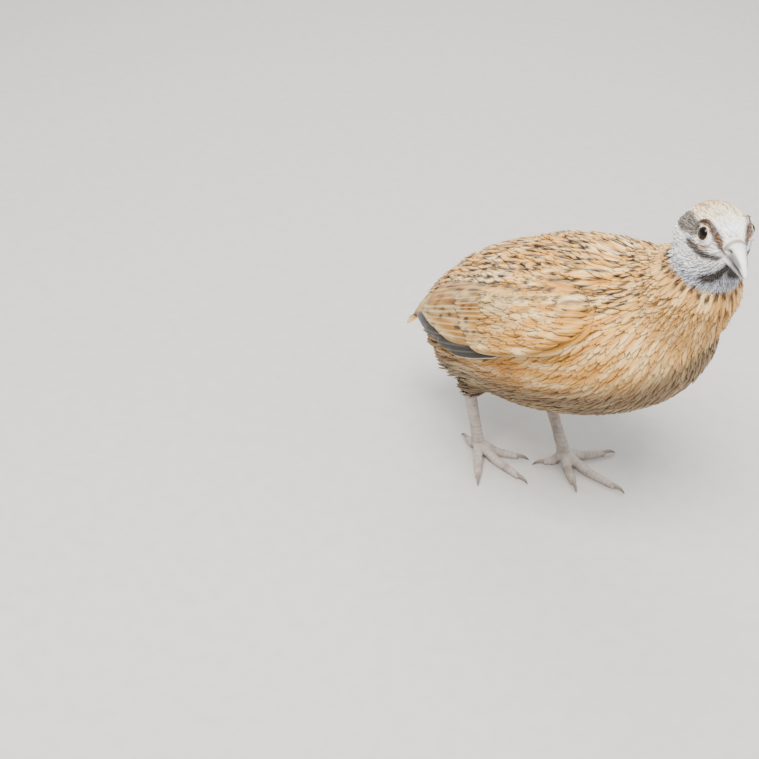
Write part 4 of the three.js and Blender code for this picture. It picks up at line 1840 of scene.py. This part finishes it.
@dataclass
class Eye:
    """One eyeball with its clear bulge, and the rim of its lids."""

    side: Side
    bulge: float = 0.35
    cornea: float = 2.5
    opening: float = 2.0
    narrow: float = 0.1
    fold: float = 2.75
    reach: float = 4.3
    lid_thick: float = 0.15
    rows: int = 40
    sides: int = 48
    front: float = 1.5
    pale: str = "e2cfa8"
    dark: str = "4d3c2c"

    def axes(self) -> tuple[Points, Points, Points]:
        """The eye's own directions, in the head's frame.

        Returns:
            The line of sight, and the directions before it and over it.
        """
        gaze = HEAD.gaze(self.side)
        fore = unit(np.cross(np.array([0, 0, 1.0]), gaze)) * self.side.value * -1
        return gaze, fore, unit(np.cross(gaze, fore)) * np.sign(np.cross(gaze, fore)[2])

    def build(self, hide: Hide, eye_finish: bpy.types.Material, lid_finish: bpy.types.Material) -> None:
        """Make the eyeball and its lids.

        Args:
            hide: The skin round the eye.
            eye_finish: The eye's material.
            lid_finish: The lids' material.
        """
        gaze, fore, over = self.axes()
        at = HEAD.eye_at(self.side)
        tilt = np.linspace(0, math.pi, self.rows)[:, None]
        turn = np.linspace(0, 2 * math.pi, self.sides, endpoint=False)[None]
        clear = ramp(np.sin(tilt) * HEAD.eye_radius, self.cornea, 0) * (tilt < self.front)
        radius = HEAD.eye_radius + self.bulge * clear
        ring = np.sin(tilt) * (np.cos(turn)[..., None] * fore[None, None]).transpose(2, 0, 1)
        ring = ring + np.sin(tilt) * (np.sin(turn)[..., None] * over[None, None]).transpose(2, 0, 1)
        ball = at + (radius[..., None] * (ring.transpose(1, 2, 0) + np.cos(tilt)[..., None] * gaze))
        form = loft(HEAD.out(ball))
        grid = (self.rows, self.sides)
        off = np.broadcast_to(np.where(tilt < self.front, np.sin(tilt), 1.0), grid)
        share = np.broadcast_to(turn, grid) / (2 * math.pi)
        form.vane = np.stack([off, share, 0 * off], -1).reshape(-1, 3)
        piece = form.piece(f"eyeball_{self.side.word}", eye_finish)
        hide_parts(f"eye_{self.side.word}")
        rim = self.lids(hide, at, gaze, fore, over)
        rim.piece(f"lids_{self.side.word}", lid_finish)
        hide.extend(rim)

    def lids(self, hide: Hide, at: Points, gaze: Points, fore: Points, over: Points) -> Form:
        """Both lids: a beaded rim round the opening, and creased skin out to the face's own.

        Args:
            hide: The skin that the lids run out to.
            at: The eye's middle.
            gaze: The eye's line of sight.
            fore: The direction before it.
            over: The direction over it.

        Returns:
            The lids as a form in the bird's frame.
        """
        turn = np.linspace(0, 2 * math.pi, 96, endpoint=False)[:, None]
        away = np.cos(turn) * fore + np.sin(turn) * over
        oval = 1 - self.narrow * np.cos(turn) ** 2
        shell = HEAD.eye_radius + self.lid_thick

        def ball(off: Any) -> Points:
            """Points on the shell over the eyeball, by how far they lie off its line of sight."""
            return at + away * off + gaze * np.sqrt(shell**2 - off**2)

        inner, middle = ball(self.opening * oval), ball(self.fold * oval)
        found, outs = hide.near(HEAD.out(at + gaze * 2.3 + away * self.reach))
        outer = HEAD.into(found - outs * 0.2)
        share = np.linspace(0, 1, 16)[None, :, None]
        line = inner[:, None] * (1 - share) * (1 - 2 * share) + middle[:, None] * 4 * share * (1 - share)
        line = line + outer[:, None] * share * (2 * share - 1)
        s = share[..., 0]
        rise = 0.2 * bump(s, 0.09, 0.11) * (1 + 0.3 * np.sin(turn * 32)) + 0.12 * bump(s, 0.36, 0.12)
        rise = rise + 0.05 * np.sin(turn * 22) * bump(s, 0.55, 0.3)
        top = line + gaze * rise[..., None]
        rim = np.concatenate([top, (line - gaze * 0.22)[:, ::-1]], 1)
        count, sides = rim.shape[:2]
        i, k = np.meshgrid(np.arange(count), np.arange(sides), indexing="ij")
        a, b = i * sides + k, i * sides + (k + 1) % sides
        c, d = ((i + 1) % count) * sides + (k + 1) % sides, ((i + 1) % count) * sides + k
        faces = np.stack([a, b, c, a, c, d], -1).reshape(-1, 3)
        form = facing_out(Form(HEAD.out(rim.reshape(-1, 3)), faces))
        # The rim's inner edge is dark, and painted shade darkens the crease between the bead and the fold.
        dark = np.maximum(ramp(s, 0.06, 0.0), 0.4 * bump(s, 0.22, 0.07)) + 0 * turn
        dark = np.concatenate([dark, dark[:, ::-1]], 1).reshape(-1)
        bare = np.concatenate([s, s[:, ::-1]], 1).repeat(count, 0).reshape(-1)
        rim_hue = blend(tint(self.pale), tint(self.dark), dark)
        form.hue = blend(rim_hue, MARKINGS.face(HEAD.into(form.points)), ramp(bare, 0.16, 0.3))
        return form


@dataclass(frozen=True)
class Toe:
    """One toe: its turn from straight ahead in degrees, and its length."""

    name: str
    turn: float
    length: float


@dataclass
class Leg:
    """One leg below the hock: a scaly shank, four toes and their claws."""

    side: Side
    hip: tuple[float, float, float]
    hock: tuple[float, float, float]
    joint: tuple[float, float, float]
    toes: tuple[Toe, ...]
    shank_radii: tuple[float, ...] = (2.5, 2.35, 2.0, 2.1, 2.5)
    toe_radii: tuple[float, ...] = (2.2, 1.85, 1.75, 1.5, 1.1)
    scutes: int = 15
    toe_scutes: int = 9
    voxel: float = 0.26
    plate: float = 1.75
    claw_length: float = 4.6
    claw_radii: tuple[float, ...] = (1.05, 0.85, 0.55, 0.14)

    def tube(
        self, path: Points, radii: Sequence[float], scutes: int, front: Points, deep: float = 1.0
    ) -> Form:
        """A limb with plates across its front.

        Args:
            path: The middle line's stations.
            radii: Radii read evenly along it.
            scutes: How many plates it has.
            front: The side that the plates are on.
            deep: How much deeper than wide it is.

        Returns:
            The limb.
        """
        t = np.linspace(0, 1, 130)
        line = row(path, t)
        along = unit(np.gradient(line, axis=0))
        over = unit(front - along * (along @ front)[:, None])
        beside = np.cross(along, over)
        angle = np.linspace(0, 2 * math.pi, 28, endpoint=False)[None]
        radius = row([[r] for r in radii], t)
        step = (t * scutes) % 1
        plate = (0.16 * step**1.5)[:, None] * ramp(np.sin(angle), -0.15, 0.35)
        pads = (0.12 * np.sin(t * 5 * math.pi) ** 2)[:, None] * ramp(-np.sin(angle), 0.2, 0.9)
        reach = radius + plate + pads
        ring = beside[:, None] * (np.cos(angle) * reach)[..., None]
        ring = ring + over[:, None] * (np.sin(angle) * reach * deep)[..., None]
        return loft(line[:, None] + ring)

    def build(self, skin: bpy.types.Material, horn: bpy.types.Material) -> None:
        """Make the leg and its claws.

        Args:
            skin: The leg's material.
            horn: The claws' material.
        """
        hip, hock, joint = np.array(self.hip), np.array(self.hock), np.array(self.joint)
        down = joint - hock
        inside = hock + unit(hip - hock) * 4.5
        path = np.stack([inside, hock, hock + down * 0.5, hock + down * 0.8, joint + down * 0.02])
        shank = self.tube(path, self.shank_radii, self.scutes, np.array([1.0, 0, 0.1]), 1.12)
        forms = [shank]
        claws = []
        for toe in self.toes:
            turn = math.radians(toe.turn)
            heading = np.array([math.cos(turn), math.sin(turn), 0])
            reach = np.array([0, 0.25, 0.5, 0.8, 1.0])[:, None] * toe.length
            heights = np.array([self.joint[2], 2.9, 1.25, 1.25, 0.85])[:, None]
            path = joint * [1, 1, 0] + heading * reach + np.array([0, 0, 1.0]) * heights
            forms.append(self.tube(path, self.toe_radii, self.toe_scutes, np.array([0, 0, 1.0])))
            claws.append((toe, self.claw(path[0] * [1, 1, 0], heading, toe.length)))
        form = self.fused(forms)
        piece = form.piece(f"leg_{self.side.word}_skin", skin)
        toes = [f"toe_{self.side.word}_{toe.name}" for toe in self.toes]
        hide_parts(f"shank_{self.side.word}", *toes)
        for toe, claw in claws:
            made = claw.piece(f"claw_{self.side.word}_{toe.name}_horn", horn)
            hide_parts(f"claw_{self.side.word}_{toe.name}")

    def claw(self, foot: Points, heading: Points, length: float) -> Form:
        """One curved claw.

        Args:
            foot: The floor under the foot's joint.
            heading: The toe's direction.
            length: The toe's length.

        Returns:
            The claw.
        """
        reach = length + np.array([-1.6, 0.3, 2.2, 3.6, self.claw_length])[:, None]
        heights = np.array([1.15, 1.5, 1.45, 0.95, 0.2])[:, None]
        path = foot + heading * reach + np.array([0, 0, 1.0]) * heights
        t = np.linspace(0, 1, 26)
        line = row(path, t)
        _, beside, over = frames_along(line, (0, 0, 1))
        angle = np.linspace(0, 2 * math.pi, 18, endpoint=False)[None]
        radius = row([[r] for r in self.claw_radii], t)
        low = np.where(np.sin(angle) < 0, 0.8, 1.05)
        rings = line[:, None] + beside[:, None] * (np.cos(angle) * radius * 0.85)[..., None]
        form = loft(rings + over[:, None] * (np.sin(angle) * radius * low)[..., None])
        form.points[:, 2] = np.maximum(form.points[:, 2], 0.02)
        form.hue = np.repeat(blend(tint("8b7e73"), tint("5b4f47"), ramp(t, 0.1, 1)), 18, axis=0)
        return form

    def fused(self, forms: Sequence[Form]) -> Form:
        """The shank and toes as one skin, standing flat on the floor.

        Args:
            forms: The limbs.

        Returns:
            The fused form, with its creases marked.
        """
        whole = Form.joined(forms)
        mesh = bpy.data.meshes.new("limb")
        mesh.from_pydata((whole.points * MM).tolist(), [], whole.faces.tolist())
        fuse = ("REMESH", {"mode": "VOXEL", "voxel_size": self.voxel * MM})
        form = modified(mesh, fuse, ("SMOOTH", {"iterations": 2}))
        form.points = form.points + ORIGIN
        form.points[:, 2] = np.maximum(form.points[:, 2], 0.0)
        foot = form.points - np.array(self.joint)
        reach = np.where(foot[:, 2] > 0.4, foot[:, 2] * 1.02, np.hypot(foot[:, 0], foot[:, 1]))
        # Where the creases between scales lie, carried to the leg's finish for its painted shade and relief.
        crease = ramp(np.abs(np.sin(reach * math.pi / self.plate)), 0.34, 0.0)
        form.hue = np.repeat(crease[:, None], 3, axis=1)
        return form


@dataclass(frozen=True)
class Lamp:
    """One soft light that faces the bird: its place and side in metres, its power in watts."""

    name: str
    at: tuple[float, float, float]
    size: float
    power: float
    colour: tuple[float, float, float]

    def build(self, aim: tuple[float, float, float]) -> None:
        """Add the light.

        Args:
            aim: The place that it faces, in metres.
        """
        light = bpy.data.lights.new(self.name, "AREA")
        light.size = self.size
        light.energy = self.power
        light.color = self.colour
        made = bpy.data.objects.new(self.name, light)
        made.location = self.at
        made.rotation_euler = (Vector(self.at) - Vector(aim)).to_track_quat("Z", "Y").to_euler()
        bpy.context.scene.collection.objects.link(made)


@dataclass
class Studio:
    """The floor, the lights and the camera."""

    camera_at: tuple[float, float, float] = (0.18782, -0.30697, 0.28942)
    turn: float = math.radians(42)
    rise: float = math.radians(35)
    lens: float = 55.02
    sensor: float = 36.0
    near: float = 0.01
    aim: tuple[float, float, float] = (0, 0, 0.07)
    floor_reach: float = 15
    sky: tuple[float, float, float, float] = (0.93, 0.95, 1.0, 1)
    sky_strength: float = 0.68
    lamps: tuple[Lamp, ...] = (
        Lamp("key", (0.12, -0.38, 1.0), 0.7, 33, (1, 0.975, 0.94)),
        Lamp("fill", (0.7, 0.2, 0.5), 0.8, 5.0, (0.96, 0.97, 1)),
        Lamp("rear", (-0.5, 0.5, 0.7), 0.6, 7, (1, 0.98, 0.95)),
    )

    def build(self, finish: bpy.types.Material) -> None:
        """Set up the scene round the bird.

        Args:
            finish: The floor's material.
        """
        floor = bpy.data.meshes.new("floor")
        r = self.floor_reach
        floor.from_pydata([(-r, -r, 0), (r, -r, 0), (r, r, 0), (-r, r, 0)], [], [(0, 1, 2, 3)])
        floor.materials.append(finish)
        ground = bpy.data.objects.new("floor", floor)
        bpy.context.scene.collection.objects.link(ground)
        world = bpy.data.worlds.new("studio")
        world.use_nodes = True
        sky = world.node_tree.nodes["Background"]
        sky.inputs["Color"].default_value = self.sky
        sky.inputs["Strength"].default_value = self.sky_strength
        bpy.context.scene.world = world
        for lamp in self.lamps:
            lamp.build(self.aim)
        lens = bpy.data.cameras.new("camera")
        lens.lens = self.lens
        lens.sensor_width = self.sensor
        lens.clip_start = self.near
        camera = bpy.data.objects.new("camera", lens)
        level = math.cos(self.rise)
        back = Vector((math.sin(self.turn) * level, -math.cos(self.turn) * level, math.sin(self.rise)))
        camera.location = self.camera_at
        camera.rotation_euler = (-back).to_track_quat("-Z", "Y").to_euler()
        bpy.context.scene.collection.objects.link(camera)
        bpy.context.scene.camera = camera


def body_coat(hide: Hide) -> Coat:
    """The contour feathers of the body and neck.

    Args:
        hide: The skin that they grow on.

    Returns:
        The coat, not yet built.
    """

    def keep(places: Points) -> Points:
        """Places off the face and not deep under the wings."""
        return (headward(places) < 0.75) & (Wing.depth_inside(places) < 5.5)

    def base(places: Points) -> Points:
        """How high the feathers' roots stand: higher over a wing's edge, the spine and the collar.

        Args:
            places: Places on the skin.

        Returns:
            The heights in millimetres.
        """
        along, degrees = TRUNK.read(places)
        over = np.maximum(ramp(along, -2, 12), ramp(degrees, 28, 38))
        raised = 2.0 * ramp(Wing.depth_inside(places), -5, 4) * over
        collar = bump((places - COLLAR_AT) @ COLLAR_NORMAL, -3.0, 6.0)
        spine = ramp(degrees, 30, 65) * ramp(along, 44, 30)
        return -0.2 + np.maximum(raised, 1.1 * np.maximum(spine, collar) * (1 - headward(places)))

    def size(places: Points) -> Points:
        """How large the feathers grow, 1 on the trunk's side.

        Args:
            places: Places on the skin.

        Returns:
            A size for each place.
        """
        _, degrees = TRUNK.read(places)
        neck = ramp(places[:, 2] + places[:, 0] * 0.5, 98, 132)
        legs = ramp(places[:, 2], 46, 34)
        large = 1 + 0.25 * ramp(degrees, 20, 60) + 0.45 * vented(places) * (1 - legs)
        return large * (1 - 0.5 * neck) * (1 - 0.3 * legs)

    return Coat(
        name="coat_body",
        hide=hide,
        shape=VaneShape(),
        count=110_000,
        seed=11,
        gap=lambda places: 1.3 * size(places),
        length=lambda places: 8.5 * size(places),
        half=lambda places: (0.9 + 0.25 * ramp(TRUNK.read(places)[1], 15, 45)) * size(places),
        tilt=lambda places: 0.85 + 0.5 * ramp(TRUNK.read(places)[1], 30, 60) + 2.4 * vented(places),
        keep=keep,
        base=base,
    )


def face_coat(hide: Hide) -> Coat:
    """The tiny feathers of the head.

    Args:
        hide: The skin that they grow on.

    Returns:
        The coat, not yet built.
    """

    def keep(places: Points) -> Points:
        """Places on the head, clear of the eyes and bill.

        Args:
            places: Places on the skin.

        Returns:
            Which places are wanted.
        """
        own = HEAD.into(places)
        bill = (own[:, 0] > 9.5) & (np.abs(own[:, 1]) < 2.9) & (own[:, 2] > -1.2) & (own[:, 2] < 4.6)
        return (headward(places) > 0.1) & (HEAD.from_eye(own) > 2.45) & ~bill

    def size(places: Points) -> Points:
        """How large the feathers grow: smallest by the bill."""
        own = HEAD.into(places)
        return (0.72 + 0.5 * ramp(own[:, 0], 9, -9)) * (0.6 + 0.4 * ramp(HEAD.from_eye(own), 2.6, 5))

    def tilt(places: Points) -> Points:
        """How far the tips stand out: most on the loose feathers of the cheek and nape.

        Args:
            places: Places on the skin.

        Returns:
            The heights in millimetres.
        """
        own = HEAD.into(places)
        loose = ramp(own[:, 0], 0, -7) * ramp(own[:, 2], 8, 3)
        return 0.4 + 1.1 * loose + 0.3 * ramp(own[:, 2], 0, -8)

    def touch(roots: Points, line: Points) -> Points:
        """Which feathers stay clear of the eyes."""
        own = HEAD.into(line.reshape(-1, 3)).reshape(line.shape)
        return HEAD.from_eye(own).min(1) > 2.3

    return Coat(
        name="coat_head",
        hide=hide,
        shape=VaneShape(
            shares=(0.0, 0.35, 0.75, 1.0),
            girths=(0.4, 1.0, 0.85, 0.35),
            cells=(-1.0, 0.0, 1.0),
            thick=0.07,
            fray=0.4,
        ),
        count=60_000,
        seed=12,
        gap=lambda places: 0.52 * size(places),
        length=lambda places: 3.0 * size(places),
        half=lambda places: 0.48 * size(places),
        tilt=tilt,
        keep=keep,
        base=lambda places: np.full(len(places), -0.1),
        touch=touch,
    )


def main() -> None:
    """Build the bird and its studio in order."""
    logging.basicConfig(level=logging.INFO, format="%(name)s %(message)s")
    plumage = PlumageFinish().build()
    claw_horn = HornFinish("claw_horn").build()
    bill_horn = HornFinish("bill_horn").build()
    leg_skin = LegFinish().build()
    eye_finish = EyeFinish().build()
    lid_skin = LidFinish().build()
    hide = Hide()
    hide.build(plumage)
    for side in Side:
        Wing(side).build(plumage)
        Eye(side).build(hide, eye_finish, lid_skin)
    Tail().build(plumage)
    Bill().build(bill_horn)
    body_coat(hide).build(plumage)
    face_coat(hide).build(plumage)
    Leg(
        Side.LEFT,
        hip=(-8, 13, 56),
        hock=(-18.6, 9.5, 29.5),
        joint=(-5.2, 6.6, 4.6),
        toes=(Toe("inner", -40, 14.5), Toe("middle", -1, 24), Toe("outer", 56, 17.5), Toe("hind", -128, 8)),
    ).build(leg_skin, claw_horn)
    Leg(
        Side.RIGHT,
        hip=(-20, -13, 56),
        hock=(-38.6, -12.4, 29.5),
        joint=(-34.2, -10.8, 4.6),
        toes=(Toe("inner", 26, 16), Toe("middle", -7, 22.5), Toe("outer", -52, 17), Toe("hind", 160, 8)),
    ).build(leg_skin, claw_horn)
    Studio().build(FloorFinish().build())


if __name__ == "__main__":
    main()
